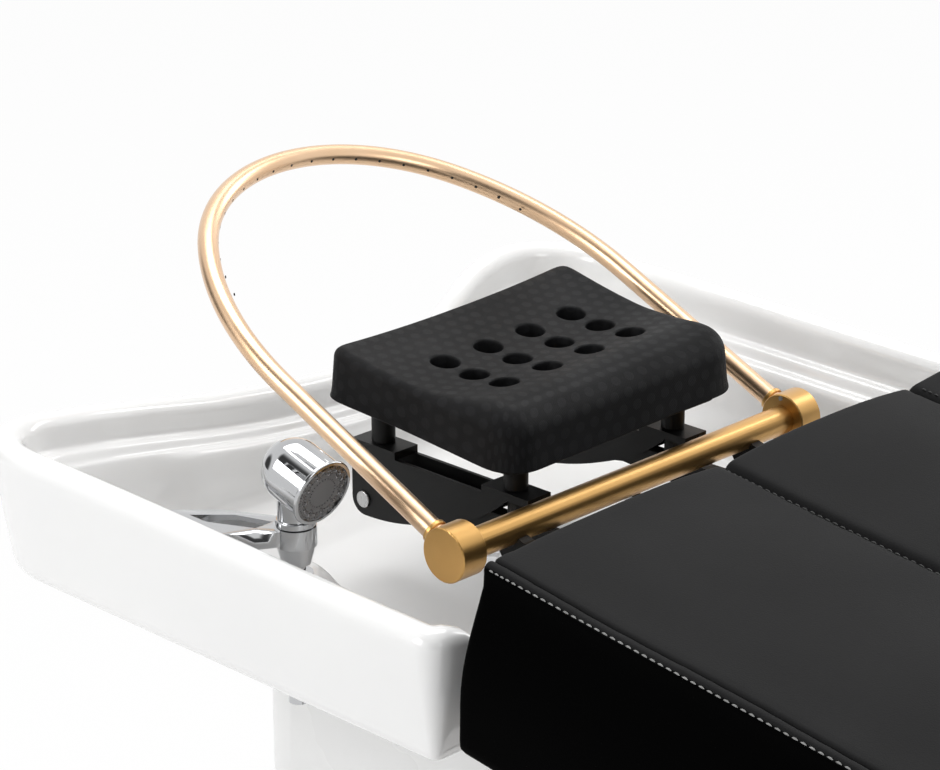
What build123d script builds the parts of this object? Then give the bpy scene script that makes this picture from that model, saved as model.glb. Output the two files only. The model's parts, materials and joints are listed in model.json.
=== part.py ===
"""Hair washing bed: a padded couch, a ceramic basin on a pedestal, a swinging water arch,
a tilting headrest and a hand shower. The foot lies at -Y, the basin at +Y, up is +Z."""
import os
from math import atan2, cos, hypot, radians, sin, tan

from build123d import *

os.makedirs("parts", exist_ok=True)

# Overall places
total_length = 1990.0
pick_reach = 1.0
middle_share = 0.5
upright_share = 0.8
bar_height = 612.0
basin_reach = 385.0
overrun = 5.0

# Couch
bed_width = 670.0
cushion_thick = 140.0
head_gap = 160.0
head_rise = 88.0
back_slope = 7.2
back_length = 800.0
panel_seam_x = 103.0
crown = 7.0
roll_clear = 2.0
seam_valley = 6.0
side_draw = 5.0
edge_drop = 11.0
edge_roll = 8.0
head_roll = 12.0
foot_roll = 34.0
under_roll = 16.0
board_thick = 18.0
board_inset = 15.0
board_setback = 32.0

# Steel frame
rail_height = 50.0
rail_width = 30.0
tube_wall = 2.5
rail_inset = 60.0
rail_setback = 30.0
leg_size = 50.0
leg_foot_setback = 110.0
leg_head_setback = 310.0
leg_plate = 4.0
foot_pad_radius = 19.0
foot_pad_height = 10.0
foot_stem_radius = 6.0
foot_stem_height = 14.0
stretcher_height = 40.0
stretcher_lift = 110.0

# Basin
basin_half_width = 328.0
basin_bed_end = 124.0
basin_wall = 23.0
basin_corner = 78.0
basin_bed_corner = 20.0
rim_rise = 20.0
rim_corner_lift = 7.0
rim_dip = 49.5
rim_dip_near_side = 40.0
rim_dip_far_side = 60.0
rim_dip_shift = 88.0
slow_share = 0.5
slow_depth_share = 0.68
steep_share = 0.54
steep_depth_share = 0.7
rim_ledge_drop = 25.0
apron_drop = 81.0
apron_draft = 12.0
apron_round = 12.0
rim_round = 7.0
dish_drop = 125.0
notch_side = 73.0
notch_ramp = 45.0
notch_drop = 45.0
deck_drop = 25.0
deck_step = 9.0
tap_deck = 78.0
bowl_side_shelf = 18.0
bowl_floor_drop = 98.0
bowl_slope_in = 38.0
bowl_corner = 60.0
bowl_floor_round = 24.0
belly_thick = 12.0
drain_x = 30.0
drain_y = 130.0
drain_dish_radius = 118.0
drain_dish_depth = 13.0

# Pedestal
pedestal_half_width = 140.0
pedestal_front = 60.0
pedestal_back = 280.0
pedestal_corner = 60.0
pedestal_wall = 10.0
pedestal_seat = 12.0
plinth_height = 45.0
plinth_step = 5.0
access_width = 150.0
access_height = 240.0
access_sill = 90.0
panel_lap = 14.0
panel_thick = 4.0
panel_round = 12.0
screw_head_radius = 3.6
screw_head_height = 1.6
screw_shank_radius = 1.8

# Waste
drain_bore = 22.0
drain_flange_radius = 34.0
drain_flange_thick = 2.0
drain_tube_wall = 2.0
drain_tube_drop = 38.0
drain_seat_drop = 5.0
strainer_clearance = 0.3
strainer_thick = 2.0
strainer_hole = 2.2
strainer_outer_share = 0.72
strainer_inner_share = 0.4
strainer_outer_holes = 12
strainer_inner_holes = 6
strainer_knob_radius = 3.5
strainer_knob_height = 9.0
trap_radius = 30.0
trap_length = 95.0
trap_inlet_radius = 16.0
trap_inlet_length = 45.0
waste_pipe_radius = 20.0
waste_run = 72.0

# Bar and water arch
bar_radius = 11.0
bar_wall = 2.0
cap_outer_x = 196.0
cap_radius = 20.0
cap_length = 23.0
cap_face = 5.0
cap_flange = 3.0
cap_bore = 14.2
cap_edge = 0.8
bar_end_gap = 1.0
running_gap = 0.05
collar_width = 5.0
collar_play = 0.5
cap_screw_circle_radius = 17.0
cap_screw_count = 3
cap_screw_turn = 60.0
arch_radius = 8.0
arch_wall = 1.2
arch_angle = 24.4
arch_leg = 190.0
arch_height = 406.7
arch_top_radius = 168.0
arch_root = 15.0
ferrule_radius = 9.6
ferrule_length = 3.5
spray_hole_radius = 1.1
spray_hole_count = 21
spray_half_turn = 73.3
spray_tip = 8.0

# Bar brackets, headrest arms and feed pipe
arm_x = 86.0
arm_thick = 12.0
arm_depth = 14.0
arm_drop = 14.0
wall_clear = 2.0
bracket_x = 128.0
bracket_thick = 10.0
cradle_wall = 5.0
feed_radius = 6.0
feed_drop = 30.0
feed_bend = 16.0
feed_tail_drop = 165.0
feed_tail_y = 136.0
tie_x = 60.0
tie_thick = 6.0
tie_depth = 46.0

# Headrest
pivot_y = 181.0
pivot_drop = 38.0
pivot_radius = 4.0
pivot_head_radius = 6.5
pivot_head = 2.2
channel_width = 24.0
channel_plate = 3.0
channel_rear = 194.0
channel_front = 34.0
tab_front = 13.0
tab_length = 46.0
tab_rise = 2.0
tab_thick = 6.0
channel_corner = 13.0
arm_gap = 0.6
post_radius = 9.0
post_front_y = 36.0
post_rear_y = 172.0
base_rise = 32.0
base_thick = 5.0
base_tilt = 5.0
pad_half_width = 124.0
pad_front_y = 5.0
pad_rear_y = 188.0
pad_neck_rise = 86.0
pad_mid_rise = 82.5
pad_edge_rise = 93.0
pad_front_rise = 56.0
pad_hollow = 6.0
neck_roll = 28.0
roll_steps = 3
pad_steps = 8
pad_front_corner = 22.0
pad_rear_corner = 13.0
pad_round = 9.0
hole_radius = 11.0
hole_pitch_x = 45.4
hole_pitch_y = 30.0
hole_centre_y = 99.0
hole_columns = 4
hole_rows = 3
stop_radius = 6.0
side_screw_radius = 2.6
side_screw_head = 1.4

# Hand shower
shower_deck_inset = 55.0
shower_y = 90.0
socket_rise = 13.0
socket_band = 14.0
socket_radius = 15.0
socket_cone_radius = 10.4
socket_step = 1.0
socket_cone = 14.0
socket_bore = 10.0
socket_bore_low = 7.4
shower_play = 0.3
shower_neck_radius = 12.6
shower_collar_radius = 14.2
shower_collar = 5.0
head_rise_z = 53.0
head_radius = 23.0
head_reach = 27.0
head_tip = 17.0
bezel_radius = 25.0
bezel_width = 2.6
bezel_thick = 3.0
face_inset = 0.8
nut_radius = 6.6
nut_length = 10.0
hose_radius = 4.6
hose_length = 92.0
gland_radius = 12.0
gland_thick = 3.0
guide_radius = 7.5
guide_bore = 5.4
guide_length = 96.0
holder_thick = 11.0
holder_base_y = 150.0
holder_base_width = 62.0
holder_bar = 9.0
holder_slot_share = 1.5
nozzle_radius = 0.9
nozzle_circle = 18.0
nozzle_count = 18

# Mixer on the pedestal
mixer_height = 396.0
mixer_stand = 42.0
mixer_radius = 15.0
mixer_half = 62.0
union_x = 40.0
union_radius = 9.0
union_flange_radius = 21.0
union_flange = 5.0
knob_radius = 19.0
knob_length = 30.0
knob_grip = 3.2
knob_flutes = 6
stem_radius = 5.0
stem_length = 20.0
outlet_radius = 8.0
outlet_length = 24.0

# Places worked out from the sizes
bar_y = total_length / 2 - basin_reach
bar_z = bar_height
slope = radians(back_slope)
half_bed = bed_width / 2
head_y = bar_y - head_gap
head_z = bar_z + head_rise
break_y = head_y - back_length * cos(slope)
break_z = head_z - back_length * sin(slope)
foot_y = -total_length / 2
seat_length = break_y - foot_y
board_depth = cushion_thick + board_thick
rail_depth = board_depth + rail_height / 2


def yz(x):
    """The side view's plane at x, drawn in Y and Z."""
    return Plane.YZ.offset(x)


def xz(y):
    """The end view's plane at y, drawn in X and Z, facing the foot."""
    return Plane.XZ.offset(-y)


def at_back(run, depth):
    """A point of the sloping back: run along its top from the head end, depth square to it."""
    y = head_y - run * cos(slope) + depth * sin(slope)
    z = head_z - run * sin(slope) - depth * cos(slope)
    return (y, z)


def cushion_section(plane, width_half):
    """A cushion's section on a plane: drawn-in sides and three crowned panels."""
    low = width_half - side_draw
    roll = low - edge_roll
    under_edge = -cushion_thick + under_roll
    with BuildSketch(plane) as section:
        with BuildLine():
            Line((-low, -cushion_thick), (low, -cushion_thick))
            Line((low, -cushion_thick), (low, under_edge))
            ThreePointArc((low, under_edge), (width_half, -cushion_thick / 2), (low, -edge_drop))
            ThreePointArc((low, -edge_drop), (low - edge_roll / 4, -edge_drop / 3), (roll, 0))
            ThreePointArc((roll, 0), ((roll + panel_seam_x) / 2, crown), (panel_seam_x, -seam_valley))
            ThreePointArc((panel_seam_x, -seam_valley), (0, crown), (-panel_seam_x, -seam_valley))
            ThreePointArc((-panel_seam_x, -seam_valley), (-(roll + panel_seam_x) / 2, crown), (-roll, 0))
            ThreePointArc((-roll, 0), (-low + edge_roll / 4, -edge_drop / 3), (-low, -edge_drop))
            ThreePointArc((-low, -edge_drop), (-width_half, -cushion_thick / 2), (-low, under_edge))
            Line((-low, under_edge), (-low, -cushion_thick))
        make_face()
    return section.sketch


# Couch cushions
mitre = Plane(origin=(0, break_y, break_z), x_dir=(1, 0, 0), z_dir=(0, cos(slope / 2), sin(slope / 2)))
back_plane = Plane(origin=(0, head_y, head_z), x_dir=(1, 0, 0), z_dir=(0, -cos(slope), -sin(slope)))
back_side = Plane(origin=(-half_bed - overrun, head_y, head_z), x_dir=(0, cos(slope), sin(slope)),
                  z_dir=(1, 0, 0))
mitre_extra = cushion_thick * tan(slope)
roll_top = crown + roll_clear

with BuildPart() as back_cushion:
    extrude(cushion_section(back_plane, half_bed), amount=back_length + mitre_extra)
    with BuildSketch(back_side):
        with BuildLine():
            Polyline((-back_length - mitre_extra, roll_top), (-back_length - mitre_extra, -cushion_thick),
                     (-under_roll, -cushion_thick))
            RadiusArc((-under_roll, -cushion_thick), (0, -cushion_thick + under_roll), -under_roll)
            Line((0, -cushion_thick + under_roll), (0, roll_top - head_roll))
            RadiusArc((0, roll_top - head_roll), (-head_roll, roll_top), -head_roll)
            Line((-head_roll, roll_top), (-back_length - mitre_extra, roll_top))
        make_face()
    extrude(amount=bed_width + 2 * overrun, mode=Mode.INTERSECT)
    split(bisect_by=mitre, keep=Keep.TOP)

seat_plane = Plane(origin=(0, break_y + mitre_extra, break_z), x_dir=(1, 0, 0), z_dir=(0, -1, 0))
seat_side = Plane(origin=(-half_bed - overrun, foot_y, break_z), x_dir=(0, 1, 0), z_dir=(1, 0, 0))

with BuildPart() as seat_cushion:
    extrude(cushion_section(seat_plane, half_bed), amount=seat_length + mitre_extra)
    with BuildSketch(seat_side):
        with BuildLine():
            Polyline((seat_length + mitre_extra, roll_top), (seat_length + mitre_extra, -cushion_thick),
                     (under_roll, -cushion_thick))
            RadiusArc((under_roll, -cushion_thick), (0, -cushion_thick + under_roll), under_roll)
            Line((0, -cushion_thick + under_roll), (0, roll_top - foot_roll))
            RadiusArc((0, roll_top - foot_roll), (foot_roll, roll_top), foot_roll)
            Line((foot_roll, roll_top), (seat_length + mitre_extra, roll_top))
        make_face()
    extrude(amount=bed_width + 2 * overrun, mode=Mode.INTERSECT)
    split(bisect_by=mitre, keep=Keep.BOTTOM)

# Boards under the cushions
board_half = half_bed - side_draw - board_inset
with BuildPart() as back_board:
    with BuildSketch(back_plane.offset(board_setback)):
        with Locations((0, -cushion_thick - board_thick / 2)):
            Rectangle(2 * board_half, board_thick)
    extrude(amount=back_length - board_setback + mitre_extra)
    split(bisect_by=mitre, keep=Keep.TOP)

with BuildPart() as seat_board:
    with BuildSketch(seat_plane):
        with Locations((0, -cushion_thick - board_thick / 2)):
            Rectangle(2 * board_half, board_thick)
    extrude(amount=seat_length + mitre_extra - board_inset)
    split(bisect_by=mitre, keep=Keep.BOTTOM)

# Side rails, bent at the break
rail_x = half_bed - rail_inset - rail_width / 2
rail_bend = (break_y + rail_depth * tan(slope / 2), break_z - rail_depth)
rail_head = at_back(rail_setback, rail_depth)
rail_foot = (foot_y + rail_setback, break_z - rail_depth)


def tube_section(plane, width, height, wall):
    """The hollow section of a rectangular tube on a plane."""
    with BuildSketch(plane) as section:
        Rectangle(width, height)
        Rectangle(width - 2 * wall, height - 2 * wall, mode=Mode.SUBTRACT)
    return section.sketch


def rail_line(x):
    """The rail's bent line at x."""
    with BuildLine() as path:
        Polyline((x, *rail_foot), (x, *rail_bend), (x, *rail_head))
    return path.line


def rail_start(x):
    """The plane square to the rail at its foot end."""
    return Plane(origin=(x, *rail_foot), x_dir=(1, 0, 0), z_dir=(0, 1, 0))


with BuildPart() as rail_near:
    sweep(tube_section(rail_start(-rail_x), rail_width, rail_height, tube_wall), path=rail_line(-rail_x),
          transition=Transition.RIGHT)

with BuildPart() as rail_far:
    sweep(tube_section(rail_start(rail_x), rail_width, rail_height, tube_wall), path=rail_line(rail_x),
          transition=Transition.RIGHT)

# Cross bars between the rails
bar_inner = rail_x - rail_width / 2


def crossbar(y, z, tilt):
    """The section of a cross bar centred at y and z, on the near rail's inner face."""
    side = Plane(origin=(-bar_inner, y, z), x_dir=(0, cos(tilt), sin(tilt)), z_dir=(1, 0, 0))
    return tube_section(side, rail_width, rail_height, tube_wall)


leg_foot_y = foot_y + leg_foot_setback
leg_head_y = bar_y - leg_head_setback
cross_head = at_back(rail_setback + rail_width / 2, rail_depth)

with BuildPart() as crossbar_foot:
    extrude(crossbar(rail_foot[0] + rail_width / 2, rail_foot[1], 0), amount=2 * bar_inner)

with BuildPart() as crossbar_mid:
    extrude(crossbar(break_y - rail_width, rail_foot[1], 0), amount=2 * bar_inner)

with BuildPart() as crossbar_head:
    extrude(crossbar(*cross_head, slope), amount=2 * bar_inner)

# Legs with foot plates, stretchers and levelling feet
leg_lift = foot_pad_height + foot_stem_height
rail_under = rail_depth + rail_height / 2


def leg_plane(x, y):
    """The plane of a leg's lower end."""
    return Plane.XY.move(Location((x, y, leg_lift)))


def above_rails(x):
    """The side outline of the space from the rails' undersides up, drawn beside a leg at x."""
    with BuildSketch(yz(x - leg_size / 2 - overrun)) as space:
        with BuildLine():
            Polyline((foot_y, break_z - rail_under),
                     (break_y + rail_under * tan(slope / 2), break_z - rail_under), at_back(0, rail_under),
                     at_back(0, -crown), (foot_y, head_z + overrun), close=True)
        make_face()
    return space.sketch


leg_places = [(sx * rail_x, y) for sx in (-1, 1) for y in (leg_foot_y, leg_head_y)]
legs = []
for leg_x, leg_y in leg_places:
    with BuildPart() as leg:
        extrude(tube_section(leg_plane(leg_x, leg_y), leg_size, leg_size, tube_wall),
                amount=head_z - leg_lift)
        with BuildSketch(leg_plane(leg_x, leg_y)):
            Rectangle(leg_size, leg_size)
        extrude(amount=leg_plate)
        extrude(above_rails(leg_x), amount=leg_size + 2 * overrun, mode=Mode.SUBTRACT)
    legs.append(leg)
leg_foot_near, leg_head_near, leg_foot_far, leg_head_far = legs


def stretcher_start(y):
    """The plane on the near leg's inner face where a stretcher starts."""
    return Plane(origin=(-rail_x + leg_size / 2, y, stretcher_lift + stretcher_height / 2), x_dir=(0, 1, 0),
                 z_dir=(1, 0, 0))


with BuildPart() as stretcher_foot:
    extrude(tube_section(stretcher_start(leg_foot_y), rail_width, stretcher_height, tube_wall),
            amount=2 * rail_x - leg_size)

with BuildPart() as stretcher_head:
    extrude(tube_section(stretcher_start(leg_head_y), rail_width, stretcher_height, tube_wall),
            amount=2 * rail_x - leg_size)

with BuildPart() as levelling_feet:
    with BuildSketch(Plane.XY):
        with Locations(*leg_places):
            Circle(foot_pad_radius)
    extrude(amount=foot_pad_height)
    fillet(levelling_feet.edges().group_by(Axis.Z)[-1], radius=foot_pad_height / 4)
    with BuildSketch(Plane.XY.offset(foot_pad_height)):
        with Locations(*leg_places):
            Circle(foot_stem_radius)
    extrude(amount=foot_stem_height)

# Basin
rim_high = rim_rise + rim_corner_lift
apron_z = bar_z - apron_drop
dish_z = bar_z - dish_drop
deck_z = bar_z - deck_drop
floor_z = bar_z - bowl_floor_drop
basin_front = bar_y - basin_bed_end
basin_back = bar_y + basin_reach


def rounded_plan(plane, x0, x1, y0, y1, front_radius, back_radius):
    """A rectangle in plan from x0 to x1 and y0 to y1, with its own corner radii at each end."""
    with BuildSketch(plane) as plan:
        with Locations(((x0 + x1) / 2, (y0 + y1) / 2)):
            Rectangle(x1 - x0, y1 - y0)
        fillet(plan.vertices().group_by(Axis.Y)[0], radius=front_radius)
        fillet(plan.vertices().group_by(Axis.Y)[-1], radius=back_radius)
    return plan.sketch


def level(z):
    """The horizontal plane at z."""
    return Plane.XY.offset(z)


def round_plan(z, x, y, radius):
    """A disc in plan at height z."""
    with BuildSketch(level(z)) as disc:
        with Locations((x, y)):
            Circle(radius)
    return disc.sketch


rim_top = bar_z + rim_high
well_x = basin_half_width - basin_wall
shower_x = -well_x + shower_deck_inset
well_y0 = basin_front + basin_wall
well_y1 = basin_back - basin_wall
well_radius = basin_corner - basin_wall
bowl_x0 = -well_x + tap_deck
bowl_x1 = well_x - bowl_side_shelf
bowl_y0 = well_y0 + bowl_side_shelf
bowl_y1 = well_y1 - 2 * deck_step
apron_x = basin_half_width - apron_draft
apron_y0 = basin_front + apron_draft
apron_y1 = basin_back - apron_draft
drain_at = (drain_x, bar_y + drain_y)
belly_in = bowl_slope_in - basin_wall
belly_z = floor_z - belly_thick

# Rim waves: the sides climb to the head corners, the head end dips, the bed end is notched
side_wave_end = basin_back - basin_corner - rim_rise
with BuildSketch(yz(-basin_half_width - overrun)) as side_wave:
    with BuildLine():
        Spline((basin_front - overrun, bar_z + rim_rise), (side_wave_end, rim_top),
               tangents=((1, 0), (1, 0)))
        Polyline((side_wave_end, rim_top), (basin_back + overrun, rim_top),
                 (basin_back + overrun, rim_top + overrun), (basin_front - overrun, rim_top + overrun),
                 (basin_front - overrun, bar_z + rim_rise))
    make_face()



def end_dip(y, drop):
    """The space over the head end's wave, lowered by drop, drawn on the end view's plane at y."""
    left_x = rim_dip_near_side - basin_half_width
    right_x = basin_half_width - rim_dip_far_side
    high = rim_top - drop
    slow_x = left_x + (rim_dip_shift - left_x) * slow_share
    steep_x = rim_dip_shift + (right_x - rim_dip_shift) * steep_share
    with BuildSketch(xz(y)) as dip:
        with BuildLine():
            Spline((left_x, high), (slow_x, high - rim_dip * slow_depth_share),
                   (rim_dip_shift, high - rim_dip), (steep_x, high - rim_dip * steep_depth_share),
                   (right_x, high), tangents=((1, 0), (1, 0)))
            Polyline((right_x, high), (right_x, rim_top + overrun), (left_x, rim_top + overrun),
                     (left_x, high))
        make_face()
    return dip.sketch


with BuildPart() as ledge_space:
    extrude(end_dip(well_y1, rim_ledge_drop), amount=basin_corner)
    split(bisect_by=level(deck_z + overrun), keep=Keep.BOTTOM)


notch_z = bar_z - notch_drop
notch_half = basin_half_width - notch_side
notch_top = rim_top + overrun
with BuildSketch(xz(bowl_y0 + bowl_slope_in)) as bed_notch:
    with BuildLine():
        Spline((-notch_half - notch_ramp, notch_top), (-notch_half, notch_z), tangents=((0, -1), (1, 0)))
        Line((-notch_half, notch_z), (notch_half, notch_z))
        Spline((notch_half, notch_z), (notch_half + notch_ramp, notch_top), tangents=((1, 0), (0, 1)))
        Line((notch_half + notch_ramp, notch_top), (-notch_half - notch_ramp, notch_top))
    make_face()

with BuildPart() as basin:
    loft(sections=[
        rounded_plan(level(rim_top), -basin_half_width, basin_half_width, basin_front, basin_back,
                     basin_bed_corner, basin_corner),
        rounded_plan(level(apron_z), -apron_x, apron_x, apron_y0, apron_y1, basin_bed_corner,
                     basin_corner - apron_draft),
    ])
    fillet(basin.faces().sort_by(Axis.Z)[0].edges(), radius=apron_round)
    loft(sections=[
        rounded_plan(level(apron_z), -apron_x + apron_round, apron_x - apron_round, apron_y0 + apron_round,
                     apron_y1 - apron_round, basin_bed_corner, basin_corner - apron_draft),
        rounded_plan(level(belly_z), bowl_x0 + belly_in, bowl_x1 - belly_in, bowl_y0 + belly_in,
                     bowl_y1 - belly_in, bowl_corner, bowl_corner),
    ])
    extrude(rounded_plan(level(dish_z), -pedestal_half_width, pedestal_half_width, bar_y - pedestal_front,
                         bar_y + pedestal_back, pedestal_corner, pedestal_corner), amount=floor_z - dish_z)
    # Upper well down to the deck
    loft(sections=[
        rounded_plan(level(rim_top), -well_x, well_x, well_y0, well_y1, basin_bed_corner, well_radius),
        rounded_plan(level(deck_z), -well_x + deck_step, well_x - deck_step, well_y0 + deck_step,
                     well_y1, basin_bed_corner, well_radius - deck_step),
    ], mode=Mode.SUBTRACT)
    # Bowl below the deck, with the tap deck on the near side
    loft(sections=[
        rounded_plan(level(deck_z), bowl_x0, bowl_x1, bowl_y0, bowl_y1, bowl_corner, bowl_corner),
        rounded_plan(level(floor_z), bowl_x0 + bowl_slope_in, bowl_x1 - bowl_slope_in,
                     bowl_y0 + bowl_slope_in, bowl_y1 - bowl_slope_in, bowl_corner, bowl_corner),
    ], mode=Mode.SUBTRACT)
    bowl_floor = basin.faces().filter_by(Plane.XY).filter_by_position(Axis.Z, floor_z - pick_reach,
                                                                      floor_z + pick_reach)
    fillet(bowl_floor.edges(), radius=bowl_floor_round)
    # Dished floor round the drain
    loft(sections=[
        round_plan(floor_z, *drain_at, drain_dish_radius / 2),
        round_plan(floor_z - drain_dish_depth, *drain_at, drain_flange_radius),
    ], mode=Mode.SUBTRACT)
    # Rim: cut to its waves, then rolled over all round
    extrude(side_wave.sketch, amount=2 * basin_half_width + 2 * overrun, mode=Mode.SUBTRACT)
    extrude(end_dip(basin_back + overrun, 0), amount=basin_corner + overrun, mode=Mode.SUBTRACT)
    add(ledge_space.part, mode=Mode.SUBTRACT)
    rim_faces = [f for f in
                 basin.faces().filter_by_position(Axis.Z, deck_z + pick_reach, rim_top + pick_reach)
                 if f.normal_at(f.center()).Z > cos(radians(45))]
    rim_loops = [e for f in rim_faces for e in f.edges()]
    fillet([e for e in rim_loops if sum(e.is_same(other) for other in rim_loops) == 1], radius=rim_round)
    extrude(bed_notch.sketch, amount=bowl_y0 + bowl_slope_in - basin_front + overrun, mode=Mode.SUBTRACT)
    # Drain bore, and the hose bore in the tap deck
    extrude(round_plan(dish_z - overrun, *drain_at, drain_bore), amount=dish_drop, mode=Mode.SUBTRACT)
    extrude(round_plan(deck_z + overrun, shower_x, bar_y + shower_y, guide_radius + shower_play),
            amount=-rim_top + apron_z, mode=Mode.SUBTRACT)

# Pedestal with its access opening
pedestal_y0 = bar_y - pedestal_front
pedestal_y1 = bar_y + pedestal_back
with BuildPart() as pedestal:
    extrude(rounded_plan(level(0), -pedestal_half_width, pedestal_half_width, pedestal_y0, pedestal_y1,
                         pedestal_corner, pedestal_corner), amount=dish_z)
    extrude(rounded_plan(level(0), -pedestal_half_width - plinth_step, pedestal_half_width + plinth_step,
                         pedestal_y0 - plinth_step, pedestal_y1 + plinth_step, pedestal_corner,
                         pedestal_corner), amount=plinth_height)
    plinth_top = pedestal.faces().filter_by(Plane.XY).filter_by_position(Axis.Z, plinth_height - pick_reach,
                                                                        plinth_height + pick_reach)
    fillet(plinth_top.edges().sort_by(SortBy.LENGTH)[-1:], radius=plinth_step / 2)
    extrude(rounded_plan(level(0), -pedestal_half_width + pedestal_wall, pedestal_half_width - pedestal_wall,
                         pedestal_y0 + pedestal_wall, pedestal_y1 - pedestal_wall,
                         pedestal_corner - pedestal_wall, pedestal_corner - pedestal_wall),
            amount=dish_z - pedestal_seat, mode=Mode.SUBTRACT)
    extrude(round_plan(dish_z + overrun, *drain_at, drain_flange_radius), amount=-pedestal_seat - 2 * overrun,
            mode=Mode.SUBTRACT)
    with BuildSketch(xz(pedestal_y1 + overrun)):
        with Locations((0, access_sill + access_height / 2)):
            RectangleRounded(access_width, access_height, panel_round)
    extrude(amount=pedestal_wall + 2 * overrun, mode=Mode.SUBTRACT)

panel_screw_x = access_width + panel_lap
panel_screw_z = access_height + panel_lap
panel_centre = (0, access_sill + access_height / 2)
with BuildPart() as access_panel:
    with BuildSketch(xz(pedestal_y1)):
        with Locations(panel_centre):
            RectangleRounded(access_width + 2 * panel_lap, access_height + 2 * panel_lap, panel_round)
    extrude(amount=-panel_thick)
    fillet(access_panel.faces().sort_by(Axis.Y)[-1].edges(), radius=panel_thick / 3)
    with BuildSketch(xz(pedestal_y1 + panel_thick)):
        with Locations(panel_centre):
            with GridLocations(panel_screw_x, panel_screw_z, 2, 2):
                Circle(screw_shank_radius)
    extrude(amount=panel_thick, mode=Mode.SUBTRACT)

with BuildPart() as panel_screws:
    with BuildSketch(xz(pedestal_y1 + panel_thick)):
        with Locations(panel_centre):
            with GridLocations(panel_screw_x, panel_screw_z, 2, 2):
                Circle(screw_head_radius)
    extrude(amount=-screw_head_height)
    fillet(panel_screws.faces().group_by(Axis.Y)[-1].edges(), radius=screw_head_height / 2)
    with BuildSketch(xz(pedestal_y1 + panel_thick)):
        with Locations(panel_centre):
            with GridLocations(panel_screw_x, panel_screw_z, 2, 2):
                Circle(screw_shank_radius)
    extrude(amount=panel_thick)

# Waste: flange in the basin's drain, strainer, bottle trap
drain_top = floor_z - drain_dish_depth
drain_low = dish_z - drain_tube_drop
tube_out = drain_bore
tube_in = drain_bore - drain_tube_wall
with BuildPart() as drain_flange:
    with BuildSketch(Plane(origin=(*drain_at, 0), x_dir=(1, 0, 0), z_dir=(0, -1, 0))):
        with BuildLine():
            Polyline((tube_in, drain_low), (tube_out, drain_low), (tube_out, drain_top),
                     (drain_flange_radius, drain_top),
                     (drain_flange_radius, drain_top + drain_flange_thick / 2),
                     (tube_out + drain_flange_thick, drain_top + drain_flange_thick),
                     (tube_in, drain_top + drain_flange_thick / 2), close=True)
        make_face()
    revolve(axis=Axis((drain_x, bar_y + drain_y, 0), (0, 0, 1)))
    with BuildSketch(level(drain_top - drain_seat_drop - drain_tube_wall)):
        with Locations(drain_at):
            Circle(tube_in)
            Circle(tube_in - 2 * drain_tube_wall, mode=Mode.SUBTRACT)
    extrude(amount=drain_tube_wall)

strainer_radius = tube_in - strainer_clearance
strainer_z = drain_top - drain_seat_drop
with BuildPart() as strainer:
    extrude(round_plan(strainer_z, *drain_at, strainer_radius), amount=strainer_thick)
    with BuildSketch(level(strainer_z)):
        with Locations(drain_at):
            with PolarLocations(strainer_radius * strainer_outer_share, strainer_outer_holes):
                Circle(strainer_hole)
            with PolarLocations(strainer_radius * strainer_inner_share, strainer_inner_holes):
                Circle(strainer_hole)
    extrude(amount=strainer_thick, mode=Mode.SUBTRACT)
    extrude(round_plan(strainer_z + strainer_thick, *drain_at, strainer_knob_radius),
            amount=strainer_knob_height)
    fillet(strainer.edges().sort_by(Axis.Z)[-1], radius=strainer_knob_radius / 2)

trap_top = drain_low - trap_inlet_length
waste_y = bar_y + drain_y - waste_run
waste_z = trap_top - waste_pipe_radius - trap_inlet_radius
with BuildPart() as waste_trap:
    extrude(round_plan(drain_low, *drain_at, tube_out), amount=-trap_inlet_length)
    extrude(round_plan(trap_top, *drain_at, trap_radius), amount=-trap_length)
    fillet(waste_trap.edges().sort_by(Axis.Z)[0], radius=trap_inlet_radius / 2)
    with BuildSketch(xz(bar_y + drain_y)):
        with Locations((drain_x, waste_z)):
            Circle(trap_inlet_radius)
    extrude(amount=waste_run)
    extrude(round_plan(waste_z + waste_pipe_radius, drain_x, waste_y, waste_pipe_radius),
            amount=-waste_z - waste_pipe_radius)

# Cross bar of the water arch
bar_end = cap_outer_x - cap_face - bar_end_gap
cap_inner_x = cap_outer_x - cap_length
cavity_inner = cap_inner_x + cap_flange
cavity_outer = cap_outer_x - cap_face
bar_bore = bar_radius - bar_wall


def bar_disc(x, radius):
    """A disc square to the cross bar at x."""
    with BuildSketch(yz(x)) as disc:
        with Locations((bar_y, bar_z)):
            Circle(radius)
    return disc.sketch


with BuildPart() as bar_tube:
    extrude(bar_disc(-bar_end, bar_radius), amount=2 * bar_end)
    extrude(bar_disc(-bar_end, bar_bore), amount=2 * bar_end, mode=Mode.SUBTRACT)
    extrude(round_plan(bar_z, 0, bar_y, feed_radius / 2), amount=-bar_radius - overrun, mode=Mode.SUBTRACT)

collar_x = cavity_inner + collar_play
with BuildPart() as bar_collars:
    extrude(bar_disc(-collar_x - collar_width, cap_bore - running_gap), amount=collar_width)
    extrude(bar_disc(collar_x, cap_bore - running_gap), amount=collar_width)
    extrude(bar_disc(-bar_end, bar_radius), amount=2 * bar_end, mode=Mode.SUBTRACT)

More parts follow.
